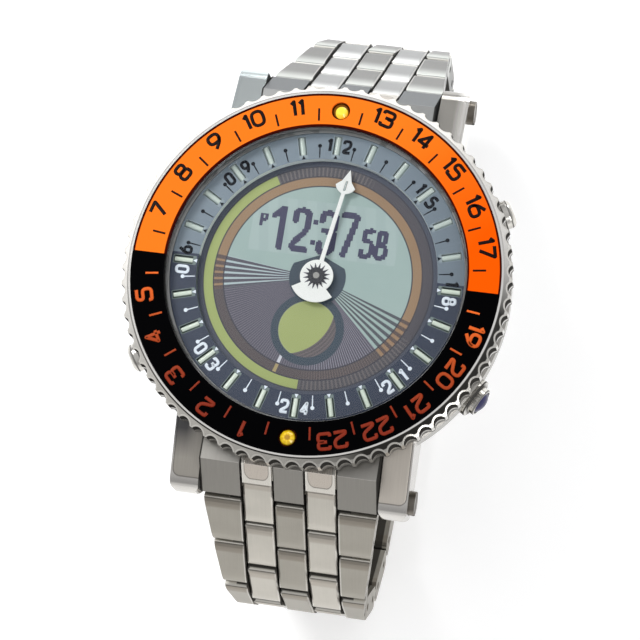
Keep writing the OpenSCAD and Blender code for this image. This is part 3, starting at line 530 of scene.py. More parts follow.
def display():
    """The liquid crystal: day arc, brown hour arc, fans of shade, moon and night field."""
    f = Finish(
        "display", srgb(168, 190, 184), roughness=0.34, Coat_Weight=0.3, Coat_Roughness=0.05
    )
    radius, angle = f.polar()
    x, y, z = f.place()
    radius, x, y = radius / DRAWN, x / DRAWN, y / DRAWN
    soft = 0.05

    def sector(start, stop, blur=0.35):
        """1 between two clock angles, which may pass 12."""
        turned = (angle - start).math("FLOORED_MODULO", 360.0)
        return turned.between(0.0, (stop - start) % 360, blur)

    def rays(count, share, phase=0.0):
        """1 on thin rays that stand at even angles."""
        turn = (angle - phase) * (count / 360)
        return turn.math("FRACT").between(0.0, share, 0.12)

    cloud = f.noise(0.12, 3.0)
    glass = f.blend(cloud, srgb(160, 184, 180), srgb(178, 198, 192))
    panel = 1.0 - rounded_box(x, y, (0.0, 5.9), (8.9, 3.4), 0.1).step(0.0, 0.06)
    glass = f.blend(panel * 0.45, glass, srgb(190, 206, 204))
    cells = (x * 0.42 + y * 0.07).math("FRACT").between(0.0, 0.5, 0.06)
    glass = f.blend(panel * cells * 0.2, glass, srgb(150, 172, 172))

    # Night field with fine rays, then the two fans at its ends
    night = sector(133.5, FAN_LEFT - 20.5)
    fine = rays(240, 0.3)
    lit_side = sector(133.5, 178.0, 12.0)
    night_tone = f.blend(fine * (0.42 + 0.5 * lit_side), srgb(88, 84, 98), srgb(158, 156, 170))
    glass = f.blend(night, glass, night_tone)
    fan_left = sector(FAN_LEFT - 20.5, FAN_LEFT)
    fan_right = sector(FAN_RIGHT, 133.5)
    stripes_left = rays(360 / 3.65, 0.36, 255.1 - 0.4)
    stripes_right = rays(360 / 4.1, 0.5, 111.0)
    glass = f.blend(fan_left * (1 - stripes_left), glass, srgb(86, 84, 96))
    glass = f.blend(fan_left * stripes_left, glass, srgb(190, 206, 210))
    glass = f.blend(fan_right * (1 - stripes_right), glass, srgb(84, 88, 96))

    # Brown arc, full by day, striped over the fans and dark at night
    brown = f.blend(cloud, srgb(152, 120, 90), srgb(172, 140, 106))
    brown_night = f.blend(fine * 0.4 * lit_side, srgb(88, 78, 80), srgb(140, 124, 116))
    brown_dark = srgb(96, 78, 74)
    arc = f.blend(night, brown, brown_night)
    arc = f.blend(fan_left * (1 - stripes_left), arc, brown_dark)
    arc = f.blend(fan_right * (1 - stripes_right), arc, brown_dark)
    picture = f.blend(radius.step(BROWN_IN, soft), glass, arc)

    # Olive arc over the left half, the rest grey-brown with ticks
    olive = f.blend(cloud, srgb(167, 180, 104), srgb(177, 189, 115))
    ticks = rays(168, 0.42) * sector(322.0, 20.0, 8.0).most(sector(118.0, 180.5, 8.0))
    ring = f.blend(ticks * 0.7, srgb(82, 78, 86), srgb(120, 114, 112))
    outer = f.blend(sector(181.2, 330.0), ring, olive)
    picture = f.blend(radius.step(OLIVE_IN, soft), picture, outer)
    picture = f.blend(radius.step(OLIVE_OUT, soft), picture, srgb(74, 80, 98))

    # Thin dark rings between the arcs
    for edge in (BROWN_IN, (BROWN_OUT + OLIVE_IN) / 2, OLIVE_OUT):
        line = radius.between(edge - 0.08, edge + 0.08, soft)
        picture = f.blend(line * 0.9, picture, srgb(52, 54, 68))

    # One lit mark on the night side
    mark = sector(194.6, 196.6, 0.3)
    picture = f.blend(mark * radius.between(10.2, 11.2, soft), picture, srgb(222, 222, 230))
    picture = f.blend(mark * radius.between(11.4, 12.4, soft), picture, srgb(180, 160, 112))

    # Hub shadow, moon well, moon and its shaded side
    wx, wy = x - MOON[0], y - MOON[1]
    well = (wx * wx + wy * wy).root()
    hub = (1.0 - radius.step(3.4, soft)) * (1.0 - (abs(x) * 0.45 + y).step(2.85, soft))
    picture = f.blend(hub.most(1.0 - well.step(MOON_WELL_R, soft)), picture, srgb(54, 71, 86))
    axis = math.radians(41)
    sx, sy = MOON[0] - 3.85 * math.cos(axis), MOON[1] + 3.85 * math.sin(axis)
    gx, gy = x - sx, y - sy
    reach = (gx * gx + gy * gy).root()
    lit = 1.0 - reach.step(5.8, soft)
    rings = (reach * 2.6).math("FRACT").between(0.0, 0.4, 0.15)
    shaded = f.blend(rings * 0.5, srgb(96, 88, 92), srgb(128, 118, 116))
    moon = f.blend(lit, shaded, f.blend(cloud, srgb(167, 178, 108), srgb(178, 189, 119)))
    picture = f.blend(1.0 - well.step(MOON_R, soft), picture, moon)
    rim = well.between(MOON_R - 0.04, MOON_R + 0.08, soft) * lit
    picture = f.blend(rim * 0.5, picture, srgb(206, 214, 150))

    # Light from above lifts the drawing, so it is laid down darker
    picture = f.blend(0.14, picture, srgb(0, 0, 0))
    below = z.step(LCD_TOP - 0.05, 0.04)
    f.set("Base Color", f.blend(below, srgb(70, 78, 84), picture))
    f.set("Roughness", 0.32 + 0.06 * cloud)
    return f


def speckled(name, low, high, roughness, scale=3.0, depth=0.004, metallic=0.0, **sockets):
    """A plain piece with slight mottling and a fine surface."""
    f = Finish(name, srgb(*high), metallic=metallic, roughness=roughness, **sockets)
    spots = f.noise(scale, 3.0)
    wide = f.noise(scale * 0.08, 2.0)
    f.set("Base Color", f.blend(0.5 * spots + 0.5 * wide, srgb(*low), srgb(*high)))
    f.set("Roughness", roughness + (spots - 0.5) * 0.1)
    f.bump(spots, depth, 0.5)
    return f


def crystal_glass():
    """Flat clear crystal: see-through, with a faint reflection."""
    f = Finish("crystal_glass", (1, 1, 1, 1), roughness=0.02)
    clear = f.node("BsdfTransparent", None, {"Color": (0.985, 0.992, 0.995, 1.0)})
    smear = f.noise(0.2, 2.0)
    gloss = f.node("BsdfGlossy", None, {"Color": (1, 1, 1, 1), "Roughness": 0.03})
    facing = Field(f, f.node("Fresnel", None, {"IOR": 1.35}))
    radius, _ = f.polar()
    amount = (facing * (0.35 + 0.15 * smear)).least(0.6)
    amount = amount.most(radius.step(18.28, 0.04) * 0.42)
    mixed = f.node("MixShader", None, {0: amount, 1: clear, 2: gloss})
    f.tree.links.new(mixed, f.output.inputs["Surface"])
    return f


def tube_glass():
    """Gas light tubes: a pale core between darker flanks, painted paler on the day half as a
    painted reflection.
    """
    f = Finish(
        "light_tube", srgb(214, 226, 206), roughness=0.22, Coat_Weight=0.3, Coat_Roughness=0.08
    )
    _, y, _ = f.place()
    core = 1.0 - abs(from_hour(*f.polar())).step(0.25, 0.1)
    spots = f.noise(2.0, 3.0)
    day = y.step(DAY_FROM, 0.05)
    # Painted reflection: on the day half the tubes are painted paler
    flank = f.blend(day, srgb(126, 140, 130), srgb(172, 184, 182))
    middle = f.blend(spots, srgb(206, 218, 200), srgb(236, 244, 230))
    middle = f.blend(day * 0.6, middle, srgb(182, 195, 192))
    f.set("Base Color", f.blend(core, flank, middle))
    f.set("Roughness", 0.2 + 0.08 * spots)
    f.bump(spots, 0.002, 0.4)
    return f


PIP_AT = 20.65  # radius at which the pips' centres stand


def pip_glass():
    """Yellow marker pips: the upper one painted bright with a painted shadow from its seat, the
    lower one painted darker.
    """
    f = Finish(
        "yellow_pip", srgb(240, 200, 20), roughness=0.16, Coat_Weight=0.5, Coat_Roughness=0.08
    )
    x, y, _ = f.place()
    up = abs(y) - PIP_AT
    reach = (x * x + up * up).root()
    turn = up.math("ARCTAN2", x) * (4 / math.pi)
    facet = abs(turn.math("FRACT") - 0.5) * 2.0
    spots = f.noise(1.5, 2.0)
    # Painted light: the two pips are lit and shaded copies of one yellow, the upper one painted
    # bright, the lower one painted darker
    day = y.step(0.0, 1.0)
    rim = f.blend(0.6 * facet + 0.4 * spots, srgb(216, 168, 10), srgb(250, 216, 34))
    table = f.blend(spots, srgb(128, 84, 4), srgb(176, 128, 10))
    night = f.blend((1.0 - reach.step(0.36, 0.2)) * 0.85, rim, table)
    night = f.blend(reach.step(0.86, 0.1) * 0.7, night, srgb(96, 62, 6))
    noon = f.blend(spots, srgb(252, 214, 22), srgb(254, 238, 78))
    # Painted shadow of the seat's rim: a dark crescent on the upper pip
    sx, sy = x - 0.14, up + 0.22
    seat = (sx * sx + sy * sy).root().step(0.76, 0.07)
    noon = f.blend(seat * 0.92, noon, srgb(84, 22, 10))
    f.set("Base Color", f.blend(day, night, noon))
    f.set("Roughness", 0.16 + 0.06 * spots)
    f.bump(facet, 0.01, 0.3)
    return f


# Where a pusher's collar ends and its cap rounds off, from the dial axis
COLLAR_END, CAP_EDGE = 24.05, 24.75


def pusher_steel():
    """Polished collars and caps, with painted shade where they meet and a painted dark reflection
    round the cap's edge.
    """
    f = Finish(
        "pusher_steel", srgb(200, 198, 194), metallic=1.0, roughness=0.15, Specular_IOR_Level=0.0
    )
    radius, _ = f.polar()
    cloud = f.noise(0.8, 2.0)
    tone = f.blend(cloud, srgb(186, 183, 176), srgb(226, 224, 219))
    # Painted shade in the gap between collar and cap, and a painted dark reflection round the
    # cap's edge
    seam = radius.between(COLLAR_END - 0.1, COLLAR_END + 0.08, 0.05)
    seam = seam.most(radius.between(CAP_EDGE, CAP_EDGE + 0.16, 0.06) * 0.8)
    tone = f.blend(seam * 0.9, tone, srgb(30, 29, 27))
    f.set("Metallic", 1.0 - seam)
    f.set("Base Color", tone)
    f.set("Roughness", 0.14 + 0.06 * cloud)
    f.bump(cloud, 0.004, 0.3)
    return f


def night_paint():
    """Orange numerals on black: painted bright near 6 and 18, painted darker toward 24 as painted
    shade.
    """
    f = Finish("print_orange", srgb(190, 60, 14), roughness=0.4, Specular_IOR_Level=0.15)
    _, y, _ = f.place()
    spots = f.noise(3.0, 3.0)
    # Painted shade: the numerals are painted darker toward 24
    painted_light_share = y.step(-11.0, 16.0)
    painted_shade = f.blend(spots, srgb(112, 30, 10), srgb(138, 42, 14))
    bright = f.blend(spots, srgb(222, 92, 26), srgb(236, 108, 34))
    f.set("Base Color", f.blend(painted_light_share * painted_light_share, painted_shade, bright))
    f.set("Roughness", 0.4 + 0.08 * spots)
    f.bump(spots, 0.002, 0.4)
    return f


black_rubber = speckled("black_rubber", (18, 18, 20), (34, 34, 36), 0.7, 6.0, 0.01)
pale_nylon = speckled("pale_nylon", (150, 150, 150), (186, 186, 184), 0.4, 4.0, 0.004)
light_tube = tube_glass()
black_plastic = speckled("black_plastic", (24, 24, 27), (44, 44, 48), 0.55, 5.0, 0.008)
board_green = speckled("board_green", (20, 66, 40), (36, 92, 56), 0.45, 4.0, 0.006)
brass = speckled("brass", (176, 138, 66), (214, 176, 98), 0.28, 5.0, 0.004, 1.0)
copper = speckled("copper_coil", (150, 84, 48), (196, 118, 74), 0.35, 8.0, 0.01, 1.0)
cell_steel = speckled("cell_steel", (176, 176, 174), (206, 205, 202), 0.3, 1.0, 0.004, 1.0)
hand_white = speckled("hand_white", (232, 232, 228), (250, 250, 246), 0.35, 3.0, 0.002)
pip_yellow = pip_glass()
blue_stone = speckled(
    "blue_stone", (6, 5, 46), (20, 16, 92), 0.2, 1.0, 0.002,
    Specular_IOR_Level=0.3, Coat_Weight=0.15, Coat_Roughness=0.05,
)
print_dark = speckled(
    "print_dark", (10, 3, 3), (22, 8, 7), 0.4, 6.0, 0.002, Specular_IOR_Level=0.1
)
print_orange = night_paint()
mark_dark = speckled(
    "mark_dark", (10, 14, 21), (20, 26, 36), 0.45, 6.0, 0.002, Specular_IOR_Level=0.1
)
mark_light = speckled("mark_light", (226, 237, 250), (244, 249, 254), 0.45, 6.0, 0.002)
lcd_ink = speckled("lcd_ink", (50, 49, 78), (64, 63, 94), 0.4, 6.0, 0.002)
hand_ink = speckled("hand_ink", (46, 44, 58), (66, 64, 80), 0.4, 6.0, 0.002)
cap_dark = speckled("cap_dark", (30, 30, 36), (48, 48, 56), 0.35, 4.0, 0.003)
bezel_finish = bezel_steel()
case_finish = case_steel()
end_link_finish = end_link_steel()
enamel_finish = enamel()
hour_ring_finish = hour_ring()
display_finish = display()
pusher_finish = pusher_steel()
crystal_finish = crystal_glass()

NODE_FINISH = {
    "case_middle": case_finish,
    "case_back": cell_steel,
    "case_back_gasket": black_rubber,
    "crystal": crystal_finish,
    "crystal_gasket": pale_nylon,
    "dial_ring": hour_ring_finish,
    "light_tubes": light_tube,
    "lcd_panel": display_finish,
    "module_holder": black_plastic,
    "circuit_board": board_green,
    "battery": cell_steel,
    "battery_clamp": brass,
    "motor_stator": copper,
    "lug_bars": bar_steel,
    "end_link_12": end_link_finish,
    "end_link_6": end_link_finish,
    "bezel_click_spring": cell_steel,
    "pusher_tubes": pusher_finish,
    "bezel_ring": bezel_finish,
    "bezel_insert": enamel_finish,
    "bezel_pips": pip_yellow,
    "day_hand": hand_white,
    "hour_wheel": brass,
    "idler_wheel": brass,
    "motor_rotor": cell_steel,
    "cabochon": blue_stone,
    "clasp_cover": clasp_steel,
    "clasp_middle_blade": brushed_steel,
    "clasp_end_blade": brushed_steel,
}
for name, obj in NODES.items():
    if name in NODE_FINISH:
        finish = NODE_FINISH[name]
    elif name.startswith("link_"):
        finish = link_steel(name)
    elif name.startswith("pusher_"):
        finish = pusher_finish
    else:
        finish = polished_steel
    obj.data.materials.clear()
    obj.data.materials.append(finish.material)


# Numerals: strokes on a grid one unit high

def rounded(points, radius, closed=False, steps=4):
    """Replaces each corner of a line by an arc."""
    points = [Vector(p) for p in points]
    count = len(points)
    out = []
    for i, p in enumerate(points):
        if not closed and i in (0, count - 1):
            out.append(p)
            continue
        before, after = points[i - 1], points[(i + 1) % count]
        reach = min(radius, (before - p).length / 2, (after - p).length / 2)
        start = p + (before - p).normalized() * reach
        stop = p + (after - p).normalized() * reach
        for k in range(steps + 1):
            t = k / steps
            out.append(start * (1 - t) ** 2 + p * 2 * t * (1 - t) + stop * t * t)
    return out


def glyphs(w):
    """Each sign as (width, strokes), w wide; a stroke is (points, is it closed)."""
    h = 0.53  # where the two halves of 3, 5 and 8 meet

    def line(*points, r=0.3):
        return (rounded(points, r), False)

    def loop(*points, r=0.3):
        return (rounded(points, r, True), True)

    return {
        "0": (w, [loop((0, 0), (0, 1), (w, 1), (w, 0), r=0.42)]),
        "1": (0.22, [line((0, 0.8), (0.22, 1.0), (0.22, 0), r=0.02)]),
        "2": (w, [
            line((0, 0.74), (0, 1), (w, 1), (w, 0.5), (0.02, 0.16), (0, 0), (w, 0), r=0.24),
        ]),
        "3": (w, [
            line((0, 0.8), (0, 1), (w, 1), (w, h + 0.02), (0.25 * w, h + 0.02), r=0.22),
            line((0.5 * w, h - 0.02), (w, h - 0.02), (w, 0), (0, 0), (0, 0.2), r=0.22),
        ]),
        "4": (w, [line((0.72 * w, 0), (0.72 * w, 1), (0, 0.28), (w, 0.28), r=0.02)]),
        "5": (w, [line(
            (w, 1), (0.06, 1), (0.02, h + 0.04), (w, h + 0.08), (w, 0), (0, 0), (0, 0.2), r=0.26
        )]),
        "6": (w, [
            line((0.78 * w, 1), (0.1, 0.62), (0, 0.3), r=0.3),
            loop((0, 0), (0, 0.6), (w, 0.6), (w, 0), r=0.28),
        ]),
        "7": (w, [line((0, 1), (w, 1), (0.28 * w, 0), r=0.06)]),
        "8": (w, [
            loop((0.05, h + 0.02), (0.05, 1), (w - 0.05, 1), (w - 0.05, h + 0.02), r=0.22),
            loop((0, 0), (0, h - 0.02), (w, h - 0.02), (w, 0), r=0.24),
        ]),
        "9": (w, [
            line((0.22 * w, 0), (w - 0.1, 0.38), (w, 0.7), r=0.3),
            loop((0, 0.4), (0, 1), (w, 1), (w, 0.4), r=0.28),
        ]),
        "P": (w, [line((0, 0), (0, 1), (w, 1), (w, 0.45), (0, 0.45), r=0.25)]),
    }


BEZEL_DIGITS = glyphs(0.76)
RING_DIGITS = glyphs(0.54)
LCD_SIGNS = glyphs(0.34)


class Strokes:
    """Painted lines of one colour, gathered into one mesh raised by a small height."""

    def __init__(self, name, width, height):
        self.name = name
        self.flat = height / (width / 2)
        self.curve = bpy.data.curves.new(name, "CURVE")
        self.curve.dimensions = "3D"
        self.curve.bevel_depth = width / 2 * MM
        self.curve.bevel_resolution = 1
        self.curve.use_fill_caps = True

    def add(self, points, closed=False):
        spline = self.curve.splines.new("POLY")
        spline.points.add(len(points) - 1)
        for slot, p in zip(spline.points, points):
            slot.co = (p[0] * MM, p[1] * MM, 0, 1)
        spline.use_cyclic_u = closed

    def lay(self, z, finish, body):
        """Flattens the strokes onto a face at height z."""
        holder = bpy.data.objects.new(self.name + "_line", self.curve)
        bpy.context.scene.collection.objects.link(holder)
        graph = bpy.context.evaluated_depsgraph_get()
        mesh = bpy.data.meshes.new_from_object(holder.evaluated_get(graph))
        bpy.data.objects.remove(holder)
        mesh.transform(Matrix.Diagonal((1, 1, self.flat, 1)))
        mesh.transform(Matrix.Translation((0, 0, z * MM)))
        mesh.name = self.name
        return dress(self.name, mesh, finish, body)


def dress(name, mesh, finish, body):
    """Makes the object for a finished mesh and lets it ride on a body."""
    obj = bpy.data.objects.new(name, mesh)
    bpy.context.scene.collection.objects.link(obj)
    mesh.materials.clear()
    mesh.materials.append(finish.material)
    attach(obj, body)
    return obj


def from_bmesh(name, bm, finish, body):
    mesh = bpy.data.meshes.new(name)
    bm.to_mesh(mesh)
    bm.free()
    return dress(name, mesh, finish, body)


def on_dial(angle, radius, across=0.0):
    """A point at a clock angle and radius, moved across, clockwise."""
    a = math.radians(angle)
    return (
        radius * math.sin(a) + across * math.cos(a),
        radius * math.cos(a) - across * math.sin(a),
    )


def write_digit(strokes, table, digit, angle, foot, height, inward=False, shift=0.0):
    """Writes one digit with its foot on a radius, centred on an angle."""
    width, lines = table[digit]
    for points, closed in lines:
        out = []
        for u, v in points:
            across = (u - width / 2) * height + shift
            up = v * height
            if inward:
                out.append(on_dial(angle, foot + height - up, -across))
            else:
                out.append(on_dial(angle, foot + up, across))
        strokes.add(out, closed)


def write_number(strokes, table, text, angle, foot, height, gap):
    """Writes a number of one or two digits, bent round the dial."""
    widths = [table[d][0] * height for d in text]
    total = sum(widths) + gap * (len(text) - 1)
    at = -total / 2
    for digit, width in zip(text, widths):
        middle = at + width / 2
        turn = math.degrees(middle / (foot + height / 2))
        write_digit(strokes, table, digit, angle + turn, foot, height)
        at += width + gap


# Bezel numerals and half-hour ticks
DAY_HOURS = [7, 8, 9, 10, 11, 13, 14, 15, 16, 17]
NIGHT_HOURS = [19, 20, 21, 22, 23, 1, 2, 3, 4, 5]
NUMERAL_FOOT, NUMERAL_HEIGHT, NUMERAL_STROKE, NUMERAL_GAP = 20.15, 1.85, 0.44, 0.58
TICK_IN, TICK_OUT, TICK_WIDTH = 19.25, 20.85, 0.26
NUMERAL_RISE, TICK_RISE = 0.02, 0.018
HALF_HOURS = [HOUR_TURN * (k + 0.5) for k in range(24)]


def hour_angle(hour):
    return ((hour - 12) * HOUR_TURN) % 360


for name, hours, finish in (
    ("bezel_numerals_day", DAY_HOURS, print_dark),
    ("bezel_numerals_night", NIGHT_HOURS, print_orange),
):
    painted = Strokes(name, NUMERAL_STROKE, NUMERAL_RISE)
    for hour in hours:
        write_number(
            painted, BEZEL_DIGITS, str(hour), hour_angle(hour),
            NUMERAL_FOOT, NUMERAL_HEIGHT, NUMERAL_GAP,
        )
    painted.lay(INSERT_TOP, finish, "bezel")

for name, is_day, finish in (
    ("bezel_ticks_day", True, print_dark),
    ("bezel_ticks_night", False, print_orange),
):
    painted = Strokes(name, TICK_WIDTH, TICK_RISE)
    for angle in HALF_HOURS:
        if (math.cos(math.radians(angle)) > 0) == is_day:
            painted.add([on_dial(angle, TICK_IN), on_dial(angle, TICK_OUT)])
    painted.lay(INSERT_TOP, finish, "bezel")


# Hour ring: pins at the half hours, triangles at the hours, numerals beside eight tubes
RING_NUMERALS = {
    0: ("1", "2"), 45: ("1", "5"), 90: ("1", "8"), 135: ("2", "1"),
    180: ("2", "4"), 225: ("0", "3"), 270: ("0", "6"), 315: ("0", "9"),
}
RING_FOOT, RING_HEIGHT, RING_STROKE = 15.88, 1.46, 0.39
RING_GAP = 0.66  # from the middle of a light tube to the digits beside it
PIN_IN, PIN_OUT, PIN_WIDTH, PIN_HEAD_AT, PIN_HEAD_R = 15.0, 16.5, 0.16, 16.55, 0.25
TRIANGLE_IN, TRIANGLE_OUT, TRIANGLE_HALF = 14.95, 15.43, 0.24
RING_RISE, PIN_RISE = 0.015, 0.022
HEAD_MIDDLE, HEAD_THICK = DIAL_TOP + 0.01, 0.03
TRIANGLE_FOOT, TRIANGLE_THICK = DIAL_TOP + 0.004, 0.02


def ring_is_day(angle):
    return math.cos(math.radians(angle)) > 0.02


def disc(bm, centre, radius, z, thickness, segments=16):
    """A flat round piece whose middle lies at height z."""
    where = Matrix.Translation((centre[0] * MM, centre[1] * MM, z * MM))
    bmesh.ops.create_cone(
        bm, cap_ends=True, segments=segments, radius1=radius * MM, radius2=radius * MM,
        depth=thickness * MM, matrix=where,
    )


def plate(bm, points, z, thickness):
    """A flat piece with the given outline."""
    corners = [bm.verts.new((x * MM, y * MM, z * MM)) for x, y in points]
    grown = bmesh.ops.extrude_face_region(bm, geom=[bm.faces.new(corners)])
    top = [v for v in grown["geom"] if isinstance(v, bmesh.types.BMVert)]
    bmesh.ops.translate(bm, verts=top, vec=(0, 0, thickness * MM))
    bmesh.ops.recalc_face_normals(bm, faces=bm.faces)


# A thin inner border laid over the inner ends of the tubes
BORDER_IN, BORDER_OUT = 14.87, 15.48
BORDER_LOW, BORDER_HIGH = DIAL_TOP - 0.005, DIAL_TOP + 0.008
border = bmesh.new()
corners = [
    border.verts.new((r * MM, 0, z * MM))
    for r, z in (
        (BORDER_IN, BORDER_LOW), (BORDER_IN, BORDER_HIGH),
        (BORDER_OUT, BORDER_HIGH), (BORDER_OUT, BORDER_LOW),
    )
]
sides = [border.edges.new(pair) for pair in zip(corners, corners[1:] + corners[:1])]
bmesh.ops.spin(
    border, geom=corners + sides, axis=(0, 0, 1), angle=2 * math.pi, steps=120, use_merge=True
)
bmesh.ops.recalc_face_normals(border, faces=border.faces)
from_bmesh("ring_border", border, hour_ring_finish, "case")

for name, is_day, finish in (
    ("ring_marks_day", True, mark_dark),
    ("ring_marks_night", False, mark_light),
):
    painted = Strokes(name, PIN_WIDTH, PIN_RISE)
    spots = bmesh.new()
    for angle in HALF_HOURS:
        if ring_is_day(angle) == is_day:
            painted.add([on_dial(angle, PIN_IN), on_dial(angle, PIN_OUT)])
            disc(spots, on_dial(angle, PIN_HEAD_AT), PIN_HEAD_R, HEAD_MIDDLE, HEAD_THICK)
        hour = angle - HOUR_TURN / 2
        if ring_is_day(hour) == is_day:
            foot = [on_dial(hour, TRIANGLE_IN, s * TRIANGLE_HALF) for s in (-1, 1)]
            plate(spots, [*foot, on_dial(hour, TRIANGLE_OUT)], TRIANGLE_FOOT, TRIANGLE_THICK)
    painted.lay(DIAL_TOP, finish, "case")
    from_bmesh(name.replace("marks", "spots"), spots, finish, "case")

for name, is_day, finish in (
    ("ring_numerals_day", True, mark_dark),
    ("ring_numerals_night", False, mark_light),
):
    painted = Strokes(name, RING_STROKE, RING_RISE)
    for angle, pair in RING_NUMERALS.items():
        inward = 100 < angle < 260  # the lower numerals stand with their feet outward
        for side, digit in zip((-1, 1), pair):
            if angle in (90, 270):
                day = (side > 0) == (angle == 270)
            else:
                day = ring_is_day(angle)
            if day == is_day:
                width = RING_DIGITS[digit][0] * RING_HEIGHT + RING_STROKE
                write_digit(
                    painted, RING_DIGITS, digit, angle, RING_FOOT, RING_HEIGHT,
                    inward=inward, shift=side * (RING_GAP + width / 2),
                )
    painted.lay(DIAL_TOP, finish, "case")


# Display digits, set in square dots
DOT, DOT_HEIGHT = 0.2, 0.02


def near(p, a, b):
    """Distance from a point to a segment."""
    span = b - a
    if span.length_squared == 0:
        return (p - a).length
    t = max(0.0, min(1.0, (p - a).dot(span) / span.length_squared))
    return (p - (a + span * t)).length


def dot_box(bm, centre, size):
    """A low box on the display; centre and size are given along X and Y."""
    shape = Matrix.Diagonal((size[0] * MM, size[1] * MM, DOT_HEIGHT * MM, 1))
    where = Matrix.Translation((centre[0] * MM, centre[1] * MM, LCD_TOP * MM))
    bmesh.ops.create_cube(bm, size=1.0, matrix=where @ shape)


def dotted(bm, sign, left, foot, height, stroke, stretch=1.0):
    """Fills the display dots that a sign's strokes cover, a row of dots at a time."""
    width, lines = LCD_SIGNS[sign]
    columns = int((width * stretch * height + stroke) / DOT) + 2
    rows = int((height + stroke) / DOT) + 2
    segments = []
    for points, closed in lines:
        pts = [Vector((u * stretch * height, v * height)) for u, v in points]
        ends = pts[1:] + ([pts[0]] if closed else [])
        segments += list(zip(pts, ends))
    for row in range(rows):
        y = (row + 0.5) * DOT - stroke / 2
        start = None
        for column in range(columns + 1):
            x = (column + 0.5) * DOT - stroke / 2
            filled = column < columns and any(
                near(Vector((x, y)), a, b) < stroke / 2 for a, b in segments
            )
            if filled and start is None:
                start = column
            if not filled and start is not None:
                span = (column - start) * DOT
                middle = left + start * DOT - stroke / 2 + span / 2
                dot_box(bm, (middle, foot + y), (span, DOT))
                start = None


digits = bmesh.new()
BIG_HEIGHT, BIG_STROKE, SMALL_HEIGHT, SMALL_STROKE = 4.95, 0.76, 3.3, 0.6
for sign, left in (("1", -6.45), ("2", -3.85), ("3", -0.5), ("7", 2.15)):
    dotted(digits, sign, left, 3.3, BIG_HEIGHT, BIG_STROKE)
for sign, left in (("5", 4.8), ("8", 6.6)):
    dotted(digits, sign, left, 3.35, SMALL_HEIGHT, SMALL_STROKE)
dotted(digits, "P", -8.1, 5.9, 1.35, 0.34, stretch=1.5)
for height in (4.35, 6.95):
    dot_box(digits, (-1.3, height), (0.6, 0.6))
from_bmesh("display_digits", digits, lcd_ink, "case")


# Hand: sunburst with straight rays on the hub, a light tube in the pointer
RAYS, RAY_AT, RAY_LENGTH, RAY_FOOT_R, RAY_TIP_R = 16, 1.25, 0.8, 0.19, 0.02
HAND_TUBE_AT, HAND_TUBE_LENGTH, HAND_TUBE_R = 11.9, 1.2, 0.1
CAP_R, CAP_PIN_R = 1.02, 0.4


def turned(angle, axis):
    return Matrix.Rotation(math.radians(angle), 4, axis)


sun = bmesh.new()
on_hand = turned(-HAND_ANGLE, "Z")
for k in range(RAYS):
    spoke = on_hand @ turned(k * 360 / RAYS, "Z")
    place = spoke @ Matrix.Translation((0, RAY_AT * MM, (HAND_TOP + 0.01) * MM))
    bmesh.ops.create_cone(
        sun, cap_ends=True, segments=4, radius1=RAY_FOOT_R * MM, radius2=RAY_TIP_R * MM,
        depth=RAY_LENGTH * MM, matrix=place @ turned(-90, "X") @ Matrix.Diagonal((1, 0.12, 1, 1)),
    )
from_bmesh("hand_sunburst", sun, hand_ink, "hand")

cap = bmesh.new()
disc(cap, (0, 0), CAP_R, (HAND_TOP + PIPE_TOP) / 2 + 0.02, PIPE_TOP - HAND_TOP + 0.04, 48)
from_bmesh("hand_cap", cap, cap_dark, "hand")
pin = bmesh.new()
disc(pin, (0, 0), CAP_PIN_R, PIPE_TOP + 0.06, 0.08, 32)
from_bmesh("hand_cap_pin", pin, polished_steel, "hand")

pointer = bmesh.new()
place = on_hand @ Matrix.Translation((0, HAND_TUBE_AT * MM, (HAND_TOP - 0.06) * MM))
bmesh.ops.create_cone(
    pointer, cap_ends=True, segments=12, radius1=HAND_TUBE_R * MM, radius2=HAND_TUBE_R * MM,
    depth=HAND_TUBE_LENGTH * MM, matrix=place @ turned(90, "X"),
)
from_bmesh("hand_light_tube", pointer, light_tube, "hand")


# Floor, light and world

def floor():
    """A plain pale floor, whitened to the eye and to what mirrors it; shadows stay."""
    bm = bmesh.new()
    bmesh.ops.create_grid(bm, x_segments=1, y_segments=1, size=3.0)
    bmesh.ops.translate(bm, verts=bm.verts, vec=(0, 0, -0.02 * MM))
    mesh = bpy.data.meshes.new("floor")
    bm.to_mesh(mesh)
    bm.free()
    obj = bpy.data.objects.new("floor", mesh)
    bpy.context.scene.collection.objects.link(obj)
    f = Finish("pale_floor", (0.86, 0.86, 0.86, 1), roughness=0.8)
    rays = f.node("LightPath").node.outputs
    seen = Field(f, rays["Is Camera Ray"])
    seen = seen.most(Field(f, rays["Is Glossy Ray"]))
    seen = seen.most(Field(f, rays["Is Transmission Ray"]))
    f.set("Emission Color", (1, 1, 1, 1))
    f.set("Emission Strength", seen * 0.3)
    mesh.materials.append(f.material)


def softbox(name, place, size, power):
    """A square light, in metres, turned to the watch."""
    data = bpy.data.lights.new(name, "AREA")
    data.shape = "RECTANGLE"
    data.size, data.size_y = size
    data.energy = power
    obj = bpy.data.objects.new(name, data)
    bpy.context.scene.collection.objects.link(obj)
    obj.location = place
    aim = Vector((0, 0, 0.03)) - Vector(place)
    obj.rotation_euler = aim.to_track_quat("-Z", "Y").to_euler()


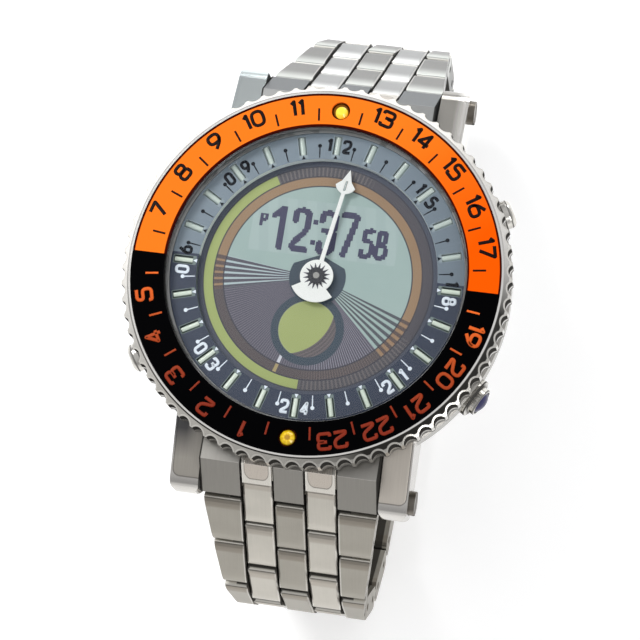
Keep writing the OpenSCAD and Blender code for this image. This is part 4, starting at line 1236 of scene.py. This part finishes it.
def studio():
    """A world whose brightness varies with height, and three soft lights."""
    world = bpy.data.worlds.new("studio")
    bpy.context.scene.world = world
    world.use_nodes = True
    nodes, links = world.node_tree.nodes, world.node_tree.links
    where = nodes.new("ShaderNodeTexCoord")
    split = nodes.new("ShaderNodeSeparateXYZ")
    ramp = nodes.new("ShaderNodeValToRGB")
    links.new(where.outputs["Generated"], split.inputs[0])
    links.new(split.outputs["Z"], ramp.inputs[0])
    stops = ramp.color_ramp.elements
    stops[0].position, stops[0].color = 0.0, (0.9, 0.9, 0.9, 1)
    stops[1].position, stops[1].color = 1.0, (0.66, 0.66, 0.67, 1)
    for at, level in ((0.12, 0.86), (0.3, 0.4), (0.62, 0.5), (0.85, 0.6)):
        stop = stops.new(at)
        stop.color = (level, level, level * 1.01, 1)
    links.new(ramp.outputs[0], nodes["Background"].inputs["Color"])
    softbox("key", (-0.28, 0.18, 0.42), (0.26, 0.18), 1.5)
    softbox("fill", (0.34, -0.26, 0.3), (0.2, 0.3), 0.9)
    softbox("back", (0.1, 0.42, 0.2), (0.4, 0.12), 0.7)


# Camera at the photo's view, fitted to the bezel, dial and bracelet
CAMERA_AT = (54.356, -78.358, 311.977)  # from the middle of the insert's top
CAMERA_TURN = (
    (0.97910902, 0.15724534, -0.12891638),
    (0.12234860, -0.96198740, -0.24415376),
    (-0.16240796, 0.22328041, -0.96112929),
)
FOCAL_PIXELS, IMAGE_PIXELS, SENSOR = 2688.68, 640, 36


def camera():
    data = bpy.data.cameras.new("photo_camera")
    data.sensor_width = SENSOR
    data.lens = FOCAL_PIXELS * SENSOR / IMAGE_PIXELS
    data.clip_start, data.clip_end = 0.01, 20
    obj = bpy.data.objects.new("photo_camera", data)
    bpy.context.scene.collection.objects.link(obj)
    right, down, forward = (Vector(row) for row in CAMERA_TURN)
    turn = Matrix((right, -down, -forward)).transposed().to_4x4()
    x, y, z = CAMERA_AT
    obj.matrix_world = Matrix.Translation((x * MM, y * MM, (z + INSERT_TOP) * MM)) @ turn
    bpy.context.scene.camera = obj


floor()
studio()
camera()
bpy.context.scene.view_settings.view_transform = "Standard"
